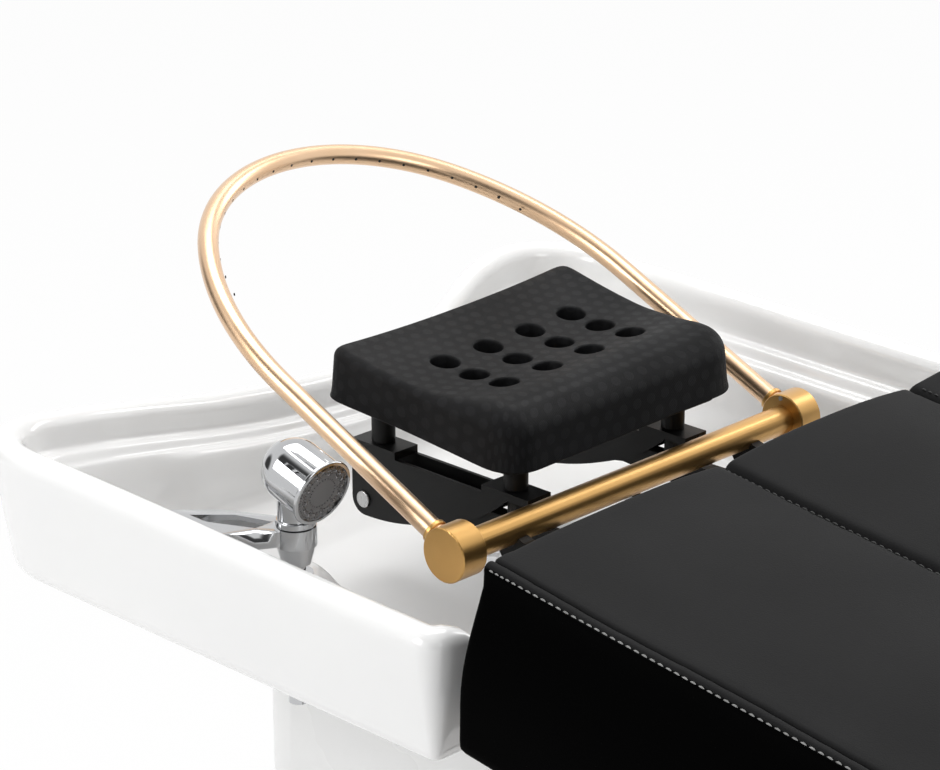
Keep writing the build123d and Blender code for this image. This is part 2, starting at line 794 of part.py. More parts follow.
# Swinging arch: its tube lies in a plane through the bar's axis
swing = radians(arch_angle)
arch_plane = Plane(origin=(0, bar_y, bar_z), x_dir=(1, 0, 0), z_dir=(0, -sin(swing), cos(swing)))
leg_x = (cavity_inner + cavity_outer) / 2 + cap_flange / 3
top_centre = arch_height - arch_top_radius
rise = top_centre - arch_leg
side_radius = (rise * rise + leg_x * leg_x - arch_top_radius ** 2) / (2 * (leg_x - arch_top_radius))
side_centre = leg_x - side_radius
join_length = hypot(-side_centre, rise)
join = (-side_centre / join_length * arch_top_radius, top_centre + rise / join_length * arch_top_radius)
mid_angle = atan2(join[1] - arch_leg, join[0] - side_centre) / 2
side_mid = (side_centre + side_radius * cos(mid_angle), arch_leg + side_radius * sin(mid_angle))

with BuildLine(arch_plane) as arch_line:
    Line((-leg_x, arch_root), (-leg_x, arch_leg))
    ThreePointArc((-leg_x, arch_leg), (-side_mid[0], side_mid[1]), (-join[0], join[1]))
    ThreePointArc((-join[0], join[1]), (0, arch_height), join)
    ThreePointArc(join, side_mid, (leg_x, arch_leg))
    Line((leg_x, arch_leg), (leg_x, arch_root))

arch_axis = Vector(0, cos(swing), sin(swing))


def arch_ring(x, reach, radius, bore):
    """A ring square to the arch's leg at x, reach out from the bar's axis."""
    origin = Vector(x, bar_y, bar_z) + arch_axis * reach
    with BuildSketch(Plane(origin=origin, x_dir=(1, 0, 0), z_dir=arch_axis)) as ring:
        Circle(radius)
        if bore:
            Circle(bore, mode=Mode.SUBTRACT)
    return ring.sketch


arch_normal = Vector(0, -sin(swing), cos(swing))
bend_centre = Vector(0, bar_y, bar_z) + arch_axis * top_centre
spray_places = []
for k in range(spray_hole_count):
    turn = radians(spray_half_turn) * (2 * k / (spray_hole_count - 1) - 1)
    outward = Vector(sin(turn), 0, 0) + arch_axis * cos(turn)
    drill = arch_normal * sin(radians(spray_tip)) - outward * cos(radians(spray_tip))
    spray_places.append(Plane(origin=bend_centre + outward * arch_top_radius, z_dir=drill))

with BuildPart() as arch_tube:
    sweep(arch_ring(-leg_x, arch_root, arch_radius, arch_radius - arch_wall), path=arch_line.line)
    with BuildSketch(*spray_places):
        Circle(spray_hole_radius)
    extrude(amount=arch_radius + arch_wall, mode=Mode.SUBTRACT)

with BuildPart() as arch_ferrules:
    for sx in (-1, 1):
        extrude(arch_ring(sx * leg_x, cap_radius, ferrule_radius, arch_radius), amount=ferrule_length)
    fillet(arch_ferrules.edges().filter_by(GeomType.CIRCLE).group_by(SortBy.RADIUS)[-1],
           radius=(ferrule_radius - arch_radius) / 2)


def cap_plane_x(side, reach):
    """The x of a plane on the near (-1) or far (+1) cap, reach in from its outer face."""
    return side * (cap_outer_x - reach)


caps = []
flanges = []
for side in (-1, 1):
    with BuildPart() as cap:
        extrude(bar_disc(side * cavity_inner, cap_radius), amount=side * (cap_length - cap_flange))
        extrude(bar_disc(side * cavity_inner, cap_bore), amount=side * (cavity_outer - cavity_inner),
                mode=Mode.SUBTRACT)
        extrude(arch_ring(side * leg_x, 0, arch_radius, 0), amount=cap_radius + overrun, mode=Mode.SUBTRACT)
        outer = cap.faces().sort_by(Axis.X)[0 if side < 0 else -1]
        chamfer(outer.edges(), length=cap_edge)
    caps.append(cap)
    with BuildPart() as flange:
        extrude(bar_disc(side * cap_inner_x, cap_radius), amount=side * cap_flange)
        extrude(bar_disc(side * cap_inner_x, bar_radius + running_gap), amount=side * cap_flange,
                mode=Mode.SUBTRACT)
        inner = flange.faces().sort_by(Axis.X)[-1 if side < 0 else 0]
        chamfer(inner.edges().sort_by(SortBy.LENGTH)[-1], length=cap_edge)
    flanges.append(flange)
cap_near, cap_far = caps
cap_flange_near, cap_flange_far = flanges

with BuildPart() as cap_screws:
    for side in (-1, 1):
        with BuildSketch(yz(side * cap_inner_x)):
            with Locations((bar_y, bar_z)):
                with PolarLocations(cap_screw_circle_radius, cap_screw_count,
                                    start_angle=arch_angle + cap_screw_turn):
                    Circle(screw_shank_radius)
        extrude(amount=-side * screw_head_height / 2)

# Bar brackets and headrest arms from the head cross bar, over the notch
front_face = rail_width / 2


def on_crossbar(share):
    """A point of the head cross bar's front face, at a share of its half height."""
    t = share * rail_height / 2
    y = cross_head[0] + front_face * cos(slope) - t * sin(slope)
    z = cross_head[1] + front_face * sin(slope) + t * cos(slope)
    return (y, z)


over_wall = notch_z + wall_clear
arm_top = bar_z - arm_drop
arm_low = arm_top - arm_depth
before_wall = basin_front - wall_clear
pivot_at = (bar_y + pivot_y, bar_z - pivot_drop)
arm_end = channel_corner - arm_gap - wall_clear


def arm_outline(x):
    """The side outline of a fixed headrest arm."""
    with BuildSketch(yz(x)) as outline:
        with BuildLine():
            Polyline(on_crossbar(-1), on_crossbar(1), (before_wall - arm_depth, over_wall - arm_depth / 2),
                     (before_wall - arm_depth, arm_top - arm_depth / 2), (before_wall, arm_top),
                     (bar_y + channel_front + tab_length, arm_top),
                     (pivot_at[0], pivot_at[1] + arm_end), (pivot_at[0], pivot_at[1] - arm_end),
                     (bar_y + channel_front + tab_length, arm_low - wall_clear),
                     (before_wall + basin_wall, over_wall),
                     (before_wall, over_wall), (before_wall, over_wall - 2 * arm_depth), close=True)
        make_face()
        with Locations(pivot_at):
            Circle(arm_end)
            Circle(pivot_radius + running_gap, mode=Mode.SUBTRACT)
    return outline.sketch


with BuildPart() as headrest_arm_near:
    extrude(arm_outline(-arm_x - arm_thick / 2), amount=arm_thick)

with BuildPart() as headrest_arm_far:
    extrude(arm_outline(arm_x - arm_thick / 2), amount=arm_thick)


def bracket_outline(x):
    """The side outline of a bar bracket that cradles the bar from below."""
    cradle = bar_radius + cradle_wall
    with BuildSketch(yz(x)) as outline:
        with BuildLine():
            Polyline(on_crossbar(-1), on_crossbar(1), (before_wall - arm_depth, over_wall - arm_depth / 2),
                     (before_wall - arm_depth, arm_top - arm_depth / 2), (before_wall, arm_top),
                     (bar_y - cradle, bar_z - cradle_wall), (bar_y, bar_z),
                     (bar_y + cradle, bar_z - cradle_wall),
                     (bar_y + cradle_wall, bar_z - cradle - cradle_wall),
                     (before_wall + basin_wall, over_wall), (before_wall, over_wall),
                     (before_wall, over_wall - 2 * arm_depth), close=True)
        make_face()
        with Locations((bar_y, bar_z)):
            Circle(bar_radius, mode=Mode.SUBTRACT)
    return outline.sketch


with BuildPart() as bar_bracket_near:
    extrude(bracket_outline(-bracket_x - bracket_thick / 2), amount=bracket_thick)

with BuildPart() as bar_bracket_far:
    extrude(bracket_outline(bracket_x - bracket_thick / 2), amount=bracket_thick)

with BuildLine(yz(0)) as feed_line:
    FilletPolyline((bar_y, bar_z - bar_radius), (bar_y, bar_z - feed_drop),
                   (bar_y - feed_tail_y, bar_z - feed_drop), (bar_y - feed_tail_y, bar_z - feed_tail_drop),
                   radius=feed_bend)
with BuildPart() as feed_pipe:
    with BuildSketch(level(bar_z - bar_radius)):
        with Locations((0, bar_y)):
            Circle(feed_radius)
            Circle(feed_radius / 2, mode=Mode.SUBTRACT)
    sweep(path=feed_line.line)
    extrude(bar_disc(-feed_radius, bar_radius), amount=2 * feed_radius, mode=Mode.SUBTRACT)


def tie_outline(x):
    """The side outline of a tie plate between the cross bar and the pedestal."""
    with BuildSketch(yz(x)) as outline:
        with BuildLine():
            Polyline(on_crossbar(-1), on_crossbar(0), (before_wall - arm_depth, dish_z - wall_clear),
                     (pedestal_y0, dish_z - wall_clear), (pedestal_y0, dish_z - wall_clear - tie_depth),
                     (before_wall - arm_depth, on_crossbar(-1)[1] - arm_depth), close=True)
        make_face()
    return outline.sketch


with BuildPart() as tie_plate_near:
    extrude(tie_outline(-tie_x - tie_thick / 2), amount=tie_thick)

with BuildPart() as tie_plate_far:
    extrude(tie_outline(tie_x - tie_thick / 2), amount=tie_thick)

# Headrest channels: side plates joined by two tabs that carry the posts
tab_z = bar_z + tab_rise


def channel_side(x):
    """The boat-shaped side plate of a headrest channel."""
    rear = bar_y + channel_rear
    front = bar_y + channel_front
    px, pz = pivot_at
    with BuildSketch(yz(x)) as outline:
        with BuildLine():
            Polyline((front, tab_z), (rear, tab_z), (rear, pz))
            RadiusArc((rear, pz), (rear - channel_corner, pz - channel_corner), channel_corner)
            Spline((rear - channel_corner, pz - channel_corner),
                   (bar_y + tab_length * 2, arm_low - wall_clear * 2), (front, tab_z),
                   tangents=((-1, 0), (-1, 1)))
        make_face()
        with Locations(pivot_at):
            Circle(pivot_radius, mode=Mode.SUBTRACT)
    return outline.sketch


channels = []
for x in (-arm_x, arm_x):
    with BuildPart() as channel:
        extrude(channel_side(x - channel_width / 2), amount=channel_plate)
        extrude(channel_side(x + channel_width / 2 - channel_plate), amount=channel_plate)
        with BuildSketch(level(tab_z)):
            with Locations((x, bar_y + tab_front + tab_length / 2),
                           (x, bar_y + channel_rear - tab_length / 2)):
                Rectangle(channel_width, tab_length)
        extrude(amount=tab_thick)
    channels.append(channel)
channel_near, channel_far = channels

with BuildPart() as pivot_bolts:
    for x in (-arm_x, arm_x):
        with BuildSketch(yz(x - channel_width / 2 - pivot_head)):
            with Locations(pivot_at):
                Circle(pivot_radius)
        extrude(amount=channel_width + 2 * pivot_head)
        for side in (-1, 1):
            with BuildSketch(yz(x + side * channel_width / 2)):
                with Locations(pivot_at):
                    Circle(pivot_head_radius)
            extrude(amount=side * pivot_head)
    fillet(pivot_bolts.edges().filter_by(GeomType.CIRCLE).group_by(SortBy.RADIUS)[-1], radius=pivot_head / 3)

with BuildPart() as channel_screws:
    for x in (-arm_x - channel_width / 2, arm_x + channel_width / 2):
        with BuildSketch(yz(x)):
            with Locations((bar_y + post_rear_y, bar_z - arm_depth)):
                Circle(side_screw_radius)
        extrude(amount=side_screw_head if x > 0 else -side_screw_head)

with BuildPart() as rest_stops:
    with BuildSketch(level(arm_top)):
        with Locations((-arm_x, bar_y + post_front_y), (arm_x, bar_y + post_front_y)):
            Circle(stop_radius)
    extrude(amount=arm_drop + tab_rise - strainer_clearance)

tilt = radians(base_tilt)
base_plane = Plane(origin=(0, bar_y + post_front_y, bar_z + base_rise), x_dir=(1, 0, 0),
                   z_dir=(0, -sin(tilt), cos(tilt)))
post_places = [(sx * arm_x, bar_y + y) for sx in (-1, 1) for y in (post_front_y, post_rear_y)]
with BuildPart() as headrest_posts:
    with BuildSketch(level(tab_z + tab_thick)):
        with Locations(*post_places):
            Circle(post_radius)
    extrude(amount=2 * base_rise)
    split(bisect_by=base_plane, keep=Keep.BOTTOM)
    fillet(headrest_posts.edges().group_by(Axis.Z)[0], radius=post_radius / 8)

# Headrest base plate and pad, tilted a little towards the bed
pad_length = pad_rear_y - pad_front_y
pad_inset = pad_half_width - pad_round / 3


def on_base(y):
    """The run along the tilted base plane of a place at y from the bar."""
    return (y - post_front_y) / cos(tilt)


with BuildPart() as headrest_base:
    with BuildSketch(base_plane):
        with Locations((0, on_base((pad_front_y + pad_rear_y) / 2))):
            RectangleRounded(2 * pad_half_width - 2 * pad_round, pad_length - 2 * pad_round, pad_rear_corner)
        with Locations((0, on_base(hole_centre_y))):
            with GridLocations(hole_pitch_x, hole_pitch_y, hole_columns, hole_rows):
                Circle(hole_radius, mode=Mode.SUBTRACT)
    extrude(amount=base_thick)


def pad_section(y, side_rise, hollow, width_half):
    """A cross section of the pad at y: flat on its base, a shallow hollow across the top."""
    low_z = bar_z + base_rise + base_thick / cos(tilt) + (y - post_front_y) * tan(tilt)
    with BuildSketch(xz(bar_y + y)) as section:
        with BuildLine():
            Polyline((-width_half, bar_z + side_rise), (-width_half - pad_round / 3, low_z),
                     (width_half + pad_round / 3, low_z), (width_half, bar_z + side_rise))
            ThreePointArc((width_half, bar_z + side_rise), (0, bar_z + side_rise - hollow),
                          (-width_half, bar_z + side_rise))
        make_face()
    return section.sketch


pad_sections = []
for k in range(roll_steps + 1):
    turn = radians(90) * k / roll_steps
    pad_sections.append(pad_section(pad_front_y + neck_roll * (1 - cos(turn)),
                                    pad_front_rise + (pad_neck_rise - pad_front_rise) * sin(turn),
                                    pad_hollow, pad_inset - pad_front_corner * (1 - sin(turn))))
neck_y = pad_front_y + neck_roll
for k in range(1, pad_steps + 1):
    place = neck_y + (pad_rear_y - neck_y) * k / pad_steps
    end_y = neck_y if place < hole_centre_y else pad_rear_y
    end_rise = pad_neck_rise if place < hole_centre_y else pad_edge_rise
    away = (place - hole_centre_y) / (end_y - hole_centre_y)
    pad_sections.append(pad_section(place, pad_mid_rise + (end_rise - pad_mid_rise) * away * away, pad_hollow,
                                    pad_inset))

with BuildPart() as headrest_pad:
    loft(sections=pad_sections)
    rear_face = headrest_pad.faces().sort_by(Axis.Y)[-1]
    fillet(rear_face.edges().filter_by(lambda e: abs(e.tangent_at(middle_share).Z) > upright_share),
           radius=pad_rear_corner)
    with BuildSketch(base_plane.offset(base_thick - overrun)):
        with Locations((0, on_base(hole_centre_y))):
            with GridLocations(hole_pitch_x, hole_pitch_y, hole_columns, hole_rows):
                Circle(hole_radius)
    extrude(amount=pad_edge_rise, mode=Mode.SUBTRACT)

# Hand shower: holder on the near wall, tapered socket, handset, hose and its guide
sy = bar_y + shower_y
socket_top = bar_z + socket_rise
band_z = socket_top - socket_band
cone_z = band_z - socket_cone


def shower_disc(z, radius):
    """A disc on the shower's upright axis at height z."""
    return round_plan(z, shower_x, sy, radius)


with BuildPart() as shower_holder:
    extrude(shower_disc(band_z, socket_radius), amount=socket_band)
    loft(sections=[shower_disc(band_z, socket_radius - socket_step), shower_disc(cone_z, socket_cone_radius)])
    with BuildSketch(level(band_z + (socket_band - holder_thick) / 2)):
        with BuildLine():
            Polyline((-well_x + deck_step, bar_y + holder_base_y - holder_base_width / 2),
                     (-well_x + deck_step, bar_y + holder_base_y + holder_base_width / 2),
                     (shower_x - socket_radius, bar_y + holder_base_y),
                     (shower_x + socket_radius, sy + holder_bar / 2), (shower_x, sy - holder_bar),
                     (shower_x - 2 * socket_radius, sy + holder_bar), close=True)
        make_face()
    extrude(amount=holder_thick)
    with BuildSketch(level(band_z)):
        with BuildLine():
            Polyline((-well_x + deck_step + holder_bar, bar_y + holder_base_y - holder_bar),
                     (-well_x + deck_step + holder_bar, bar_y + holder_base_y + holder_bar),
                     (shower_x - socket_radius, bar_y + holder_base_y - holder_bar * holder_slot_share),
                     (shower_x - socket_radius / 3, sy + socket_radius + holder_bar / 3),
                     (shower_x - 2 * socket_radius + holder_bar, sy + socket_radius + holder_bar / 3),
                     close=True)
        make_face()
    extrude(amount=socket_band, mode=Mode.SUBTRACT)
    loft(sections=[shower_disc(socket_top, socket_bore), shower_disc(cone_z, socket_bore_low)],
         mode=Mode.SUBTRACT)

neck_z = socket_top + shower_play
stem_low = cone_z + nut_length / 2
stem_share = (stem_low - cone_z) / (socket_top - cone_z)
stem_radius_low = socket_bore_low + (socket_bore - socket_bore_low) * stem_share - shower_play
head_tilt = radians(head_tip)
head_at = Vector(shower_x, sy, bar_z + head_rise_z)
face_dir = Vector(0, -cos(head_tilt), -sin(head_tilt))
head_plane = Plane(origin=head_at, x_dir=(1, 0, 0), z_dir=face_dir)

with BuildPart() as shower_body:
    loft(sections=[shower_disc(stem_low, stem_radius_low), shower_disc(neck_z, socket_bore - shower_play)])
    extrude(shower_disc(neck_z, shower_collar_radius), amount=shower_collar)
    fillet(shower_body.edges().filter_by(GeomType.CIRCLE).group_by(SortBy.RADIUS)[-1], radius=shower_play * 3)
    extrude(shower_disc(neck_z + shower_collar, shower_neck_radius),
            amount=bar_z + head_rise_z - neck_z - shower_collar)
    with BuildSketch(Plane(origin=head_at, x_dir=(1, 0, 0), z_dir=face_dir.cross(Vector(1, 0, 0)))):
        with BuildLine():
            Line((0, -head_reach), (0, head_radius))
            RadiusArc((0, head_radius), (head_radius, 0), head_radius)
            Polyline((head_radius, 0), (head_radius, -head_reach), (0, -head_reach))
        make_face()
    revolve(axis=Axis(head_at, face_dir))

bezel_plane = head_plane.offset(head_reach)
with BuildPart() as shower_bezel:
    with BuildSketch(bezel_plane):
        Circle(bezel_radius)
        Circle(bezel_radius - bezel_width, mode=Mode.SUBTRACT)
    extrude(amount=bezel_thick)
    fillet(shower_bezel.edges().filter_by(GeomType.CIRCLE).group_by(SortBy.RADIUS)[-1],
           radius=bezel_thick / 3)

with BuildPart() as shower_face:
    with BuildSketch(bezel_plane):
        Circle(bezel_radius - bezel_width)
    extrude(amount=bezel_thick - face_inset)
    with BuildSketch(bezel_plane.offset(bezel_thick - face_inset)):
        with PolarLocations(nozzle_circle, nozzle_count):
            Circle(nozzle_radius)
        with PolarLocations(nozzle_circle - 4 * nozzle_radius, nozzle_count // 2):
            Circle(nozzle_radius)
    extrude(amount=face_inset / 2)

with BuildPart() as hose_nut:
    extrude(shower_disc(stem_low, nut_radius), amount=-nut_length)
    extrude(shower_disc(stem_low, nut_radius - shower_play), amount=-nut_length - 2 * face_inset)

hose_top = stem_low - nut_length - 2 * face_inset
with BuildPart() as shower_hose:
    extrude(shower_disc(hose_top, hose_radius), amount=-hose_length)

with BuildPart() as hose_guide:
    extrude(shower_disc(deck_z, gland_radius), amount=gland_thick)
    extrude(shower_disc(deck_z, guide_radius), amount=-guide_length)
    extrude(shower_disc(deck_z + gland_thick, guide_bore), amount=-guide_length - gland_thick,
            mode=Mode.SUBTRACT)

# Mixer on the pedestal's head-end face
mix_y = pedestal_y1 + mixer_stand
mix_z = mixer_height


def mix_disc(x, radius):
    """A disc square to the mixer's long axis at x."""
    with BuildSketch(yz(x)) as disc:
        with Locations((mix_y, mix_z)):
            Circle(radius)
    return disc.sketch


with BuildPart() as mixer_body:
    extrude(mix_disc(-mixer_half, mixer_radius), amount=2 * mixer_half)
    chamfer(mixer_body.edges().filter_by(GeomType.CIRCLE), length=mixer_radius / 8)
    for side in (-1, 1):
        with BuildSketch(xz(pedestal_y1)):
            with Locations((side * union_x, mix_z)):
                Circle(union_radius)
        extrude(amount=-mixer_stand)
        with BuildSketch(xz(pedestal_y1)):
            with Locations((side * union_x, mix_z)):
                Circle(union_flange_radius)
        extrude(amount=-union_flange)
        extrude(mix_disc(side * mixer_half, stem_radius), amount=side * stem_length)
    extrude(round_plan(mix_z, 0, mix_y, outlet_radius), amount=-mixer_radius - outlet_length)

knobs = []
for side in (-1, 1):
    with BuildPart() as knob:
        extrude(mix_disc(side * (mixer_half + face_inset), knob_radius), amount=side * knob_length)
        with BuildSketch(yz(side * (mixer_half + face_inset))):
            with Locations((mix_y, mix_z)):
                with PolarLocations(knob_radius + knob_grip / 3, knob_flutes):
                    Circle(knob_grip)
        extrude(amount=side * knob_length, mode=Mode.SUBTRACT)
        outer = knob.faces().sort_by(Axis.X)[0 if side < 0 else -1]
        fillet(outer.edges(), radius=face_inset)
        extrude(mix_disc(side * mixer_half, stem_radius + running_gap),
                amount=side * (stem_length + 2 * face_inset), mode=Mode.SUBTRACT)
    knobs.append(knob)
knob_hot, knob_cold = knobs

pieces = {
    "seat_cushion": seat_cushion, "back_cushion": back_cushion, "seat_board": seat_board,
    "back_board": back_board, "rail_near": rail_near, "rail_far": rail_far, "crossbar_foot": crossbar_foot,
    "crossbar_mid": crossbar_mid, "crossbar_head": crossbar_head, "leg_foot_near": leg_foot_near,
    "leg_foot_far": leg_foot_far, "leg_head_near": leg_head_near, "leg_head_far": leg_head_far,
    "stretcher_foot": stretcher_foot, "stretcher_head": stretcher_head, "levelling_feet": levelling_feet,
    "basin": basin, "pedestal": pedestal, "access_panel": access_panel, "panel_screws": panel_screws,
    "drain_flange": drain_flange, "strainer": strainer, "waste_trap": waste_trap, "bar_tube": bar_tube,
    "bar_collars": bar_collars, "bar_bracket_near": bar_bracket_near, "bar_bracket_far": bar_bracket_far,
    "feed_pipe": feed_pipe, "tie_plate_near": tie_plate_near, "tie_plate_far": tie_plate_far,
    "headrest_arm_near": headrest_arm_near, "headrest_arm_far": headrest_arm_far, "rest_stops": rest_stops,
    "arch_tube": arch_tube, "arch_ferrules": arch_ferrules, "cap_near": cap_near, "cap_far": cap_far,
    "cap_flange_near": cap_flange_near, "cap_flange_far": cap_flange_far, "cap_screws": cap_screws,
    "channel_near": channel_near, "channel_far": channel_far, "pivot_bolts": pivot_bolts,
    "channel_screws": channel_screws, "headrest_posts": headrest_posts, "headrest_base": headrest_base,
    "headrest_pad": headrest_pad, "shower_holder": shower_holder, "shower_body": shower_body,
    "shower_bezel": shower_bezel, "shower_face": shower_face, "hose_nut": hose_nut,
    "shower_hose": shower_hose, "hose_guide": hose_guide, "mixer_body": mixer_body,
    "knob_hot": knob_hot, "knob_cold": knob_cold,
}
for name, piece in pieces.items():
    piece.part.label = name
    export_step(piece.part, f"parts/{name}.step")
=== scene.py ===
"""A hair washing bed, dressed for looks: glazed basin, couch covers, satin gold water arch."""

# %% [markdown]
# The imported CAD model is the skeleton. Every piece made here sits on it, in metres, in the same
# frame: +Y runs along the couch towards the basin, +X across it to the far side, +Z up.

# %% Load the frame
import json
import math
import bmesh
import bpy
import numpy as np
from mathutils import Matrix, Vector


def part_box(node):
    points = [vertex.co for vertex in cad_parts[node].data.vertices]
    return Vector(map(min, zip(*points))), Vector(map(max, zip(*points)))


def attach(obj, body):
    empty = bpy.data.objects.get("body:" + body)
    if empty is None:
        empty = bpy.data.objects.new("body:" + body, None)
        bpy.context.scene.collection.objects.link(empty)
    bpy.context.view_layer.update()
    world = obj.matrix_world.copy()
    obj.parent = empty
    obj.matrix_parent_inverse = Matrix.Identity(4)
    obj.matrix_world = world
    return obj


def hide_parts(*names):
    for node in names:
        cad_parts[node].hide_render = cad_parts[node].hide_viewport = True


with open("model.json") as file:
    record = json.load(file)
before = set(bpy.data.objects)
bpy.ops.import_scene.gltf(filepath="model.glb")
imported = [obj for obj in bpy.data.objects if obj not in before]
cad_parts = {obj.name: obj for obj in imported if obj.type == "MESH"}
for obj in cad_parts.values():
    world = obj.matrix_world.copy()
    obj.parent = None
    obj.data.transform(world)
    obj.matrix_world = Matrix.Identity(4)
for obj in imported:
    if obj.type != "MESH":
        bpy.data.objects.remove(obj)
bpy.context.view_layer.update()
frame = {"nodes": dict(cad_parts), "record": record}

# %% [markdown]
# The camera stands on the near side, a little towards the foot, and looks down 20 degrees. The
# same long lens as the photograph keeps the parallel edges of basin and couch nearly parallel.

# %% Camera
scene = bpy.context.scene
camera = bpy.data.objects.new("camera", bpy.data.cameras.new("camera"))
scene.collection.objects.link(camera)
camera.location = (-1.498, -0.686, 1.405)
camera.rotation_euler = (math.radians(70.0), 0.0, math.radians(-45.7))
camera.data.lens = 111.95
camera.data.sensor_width = 36.0
camera.data.clip_start = 0.05
scene.camera = camera
scene.view_settings.view_transform = "Standard"

# %% [markdown]
# Sky, floor and finishes are all small sets of nodes, made with these helpers. A number sets its
# socket, a socket is linked to it, and the result's own socket comes back.

# %% Node helpers
def link_all(tree, pairs):
    """Joins each output socket to its input socket."""
    for out_socket, in_socket in pairs:
        tree.links.new(out_socket, in_socket)


def feed(tree, socket, value):
    """Sets a socket to a number, or links another socket to it."""
    if isinstance(value, (int, float)):
        socket.default_value = value
    else:
        tree.links.new(value, socket)


def math_node(tree, operation, *values):
    """A Math node, or a chain of them where there are more than two values."""
    node = tree.nodes.new("ShaderNodeMath")
    node.operation = operation
    for socket, value in zip(node.inputs, values[:2]):
        feed(tree, socket, value)
    return math_node(tree, operation, node.outputs[0], *values[2:]) if values[2:] else node.outputs[0]


def weighted(tree, *pairs):
    """The sum of value x share over the pairs."""
    return math_node(tree, "ADD", *(math_node(tree, "MULTIPLY", value, share) for value, share in pairs))


def vector_node(tree, operation, vector, constant):
    """A Vector Math node on a linked vector and a constant one."""
    node = tree.nodes.new("ShaderNodeVectorMath")
    node.operation = operation
    node.inputs[1].default_value = constant
    tree.links.new(vector, node.inputs[0])
    return node.outputs["Value" if operation == "DOT_PRODUCT" else "Vector"]


def split(tree, vector):
    """The X, Y and Z sockets of a vector."""
    node = tree.nodes.new("ShaderNodeSeparateXYZ")
    tree.links.new(vector, node.inputs[0])
    return node.outputs


def mapped(tree, value, start, stop, low, high, kind="SMOOTHSTEP"):
    """Maps start to stop onto low to high, eased at both ends unless `kind` is LINEAR."""
    node = tree.nodes.new("ShaderNodeMapRange")
    node.interpolation_type = kind
    for label, number in zip(("From Min", "From Max", "To Min", "To Max"), (start, stop, low, high)):
        node.inputs[label].default_value = number
    tree.links.new(value, node.inputs["Value"])
    return node.outputs[0]


def seen_rays(tree):
    """Two masks: rays from the camera, mirrors and glass, and rays from mirrors alone."""
    ray = tree.nodes.new("ShaderNodeLightPath").outputs
    mirrors = ray["Is Glossy Ray"]
    return math_node(tree, "MAXIMUM", ray["Is Camera Ray"], mirrors, ray["Is Transmission Ray"]), mirrors


def mix_shaders(tree, share, first, second, output):
    """Mixes two shaders by a share and links the result to the output node."""
    mix = tree.nodes.new("ShaderNodeMixShader")
    for socket, value in zip(mix.inputs, (share, first.outputs[0], second.outputs[0])):
        tree.links.new(value, socket)
    tree.links.new(mix.outputs[0], output.inputs["Surface"])


# %% [markdown]
# The studio is a pale floor and a pale sky. Cameras and mirrors see both as plain white, which is
# what Light Path gives, while the lamps light the object itself at an ordinary level. Mirrors also
# see three dark flags with soft edges, as a studio has them, which draw the dark streaks along metal.

# %% Sky
SKY_LIGHT, FLAG_DEPTH = 0.62, 0.93
FLAGS = [((-0.72, -0.58, 0.38), 0.87, 0.955), ((-0.35, 0.93, 0.12), 0.93, 0.985),
         ((-0.62, 0.17, 0.77), 0.91, 0.975)]
world = bpy.data.worlds.new("studio")
scene.world = world
world.use_nodes = True
sky = world.node_tree
sky.nodes.clear()
sky_fill = sky.nodes.new("ShaderNodeBackground")
sky_seen = sky.nodes.new("ShaderNodeBackground")
for background in (sky_fill, sky_seen):
    background.inputs["Color"].default_value = (1.0, 1.0, 1.0, 1.0)
sky_fill.inputs["Strength"].default_value = SKY_LIGHT
heading = sky.nodes.new("ShaderNodeTexCoord").outputs["Generated"]
flags = []
for toward, outer, inner in FLAGS:
    near_flag = vector_node(sky, "DOT_PRODUCT", heading, np.array(toward) / np.linalg.norm(toward))
    flags.append(mapped(sky, near_flag, outer, inner, 0.0, FLAG_DEPTH))
seen, in_mirrors = seen_rays(sky)
shade = math_node(sky, "MULTIPLY", in_mirrors, math_node(sky, "MAXIMUM", *flags))
sky.links.new(math_node(sky, "SUBTRACT", 1.0, shade), sky_seen.inputs["Strength"])
mix_shaders(sky, seen, sky_fill, sky_seen, sky.nodes.new("ShaderNodeOutputWorld"))

# %% Lamps
def lamp(name, place, aim, size, power):
    """A soft white square lamp at `place` that faces `aim`."""
    data = bpy.data.lights.new(name, "AREA")
    data.shape = "RECTANGLE"
    data.size, data.size_y = size
    data.energy = power
    obj = bpy.data.objects.new(name, data)
    scene.collection.objects.link(obj)
    obj.location = place
    away = np.array(place, float) - np.array(aim, float)
    away /= np.linalg.norm(away)
    flat = math.hypot(away[0], away[1])
    obj.rotation_euler = (math.atan2(flat, away[2]), 0.0, math.atan2(away[1], away[0]) + math.pi / 2)


lamp("overhead", (0.5, 1.5, 3.2), (0.0, 0.5, 0.6), (2.2, 1.4), 42.0)
lamp("side", (-2.6, 1.6, 1.9), (0.0, 0.6, 0.6), (1.4, 1.4), 30.0)
lamp("far_edge", (2.8, 0.4, 2.0), (0.0, 0.5, 0.6), (0.7, 2.0), 21.0)
lamp("foot", (-1.2, -3.2, 2.2), (0.0, 0.0, 0.5), (1.6, 1.2), 24.0)

# %% [markdown]
# Leather cloth, powder coat and moulded plastic all have a pebbled skin. It is a cell pattern with
# a finer noise on it. Height feeds a Bump node and Tint varies colour and roughness a little. Each
# grain is a node group with its own inputs, built once and used by several finishes.

# %% Pebbled grain
def group(name, inputs, outputs):
    """An empty node group with float inputs (name, value) and float outputs; returns it with both ends."""
    tree = bpy.data.node_groups.new(name, "ShaderNodeTree")
    for label, value in inputs:
        tree.interface.new_socket(label, in_out="INPUT", socket_type="NodeSocketFloat").default_value = value
    for label in outputs:
        tree.interface.new_socket(label, in_out="OUTPUT", socket_type="NodeSocketFloat")
    return tree, tree.nodes.new("NodeGroupInput").outputs, tree.nodes.new("NodeGroupOutput").inputs


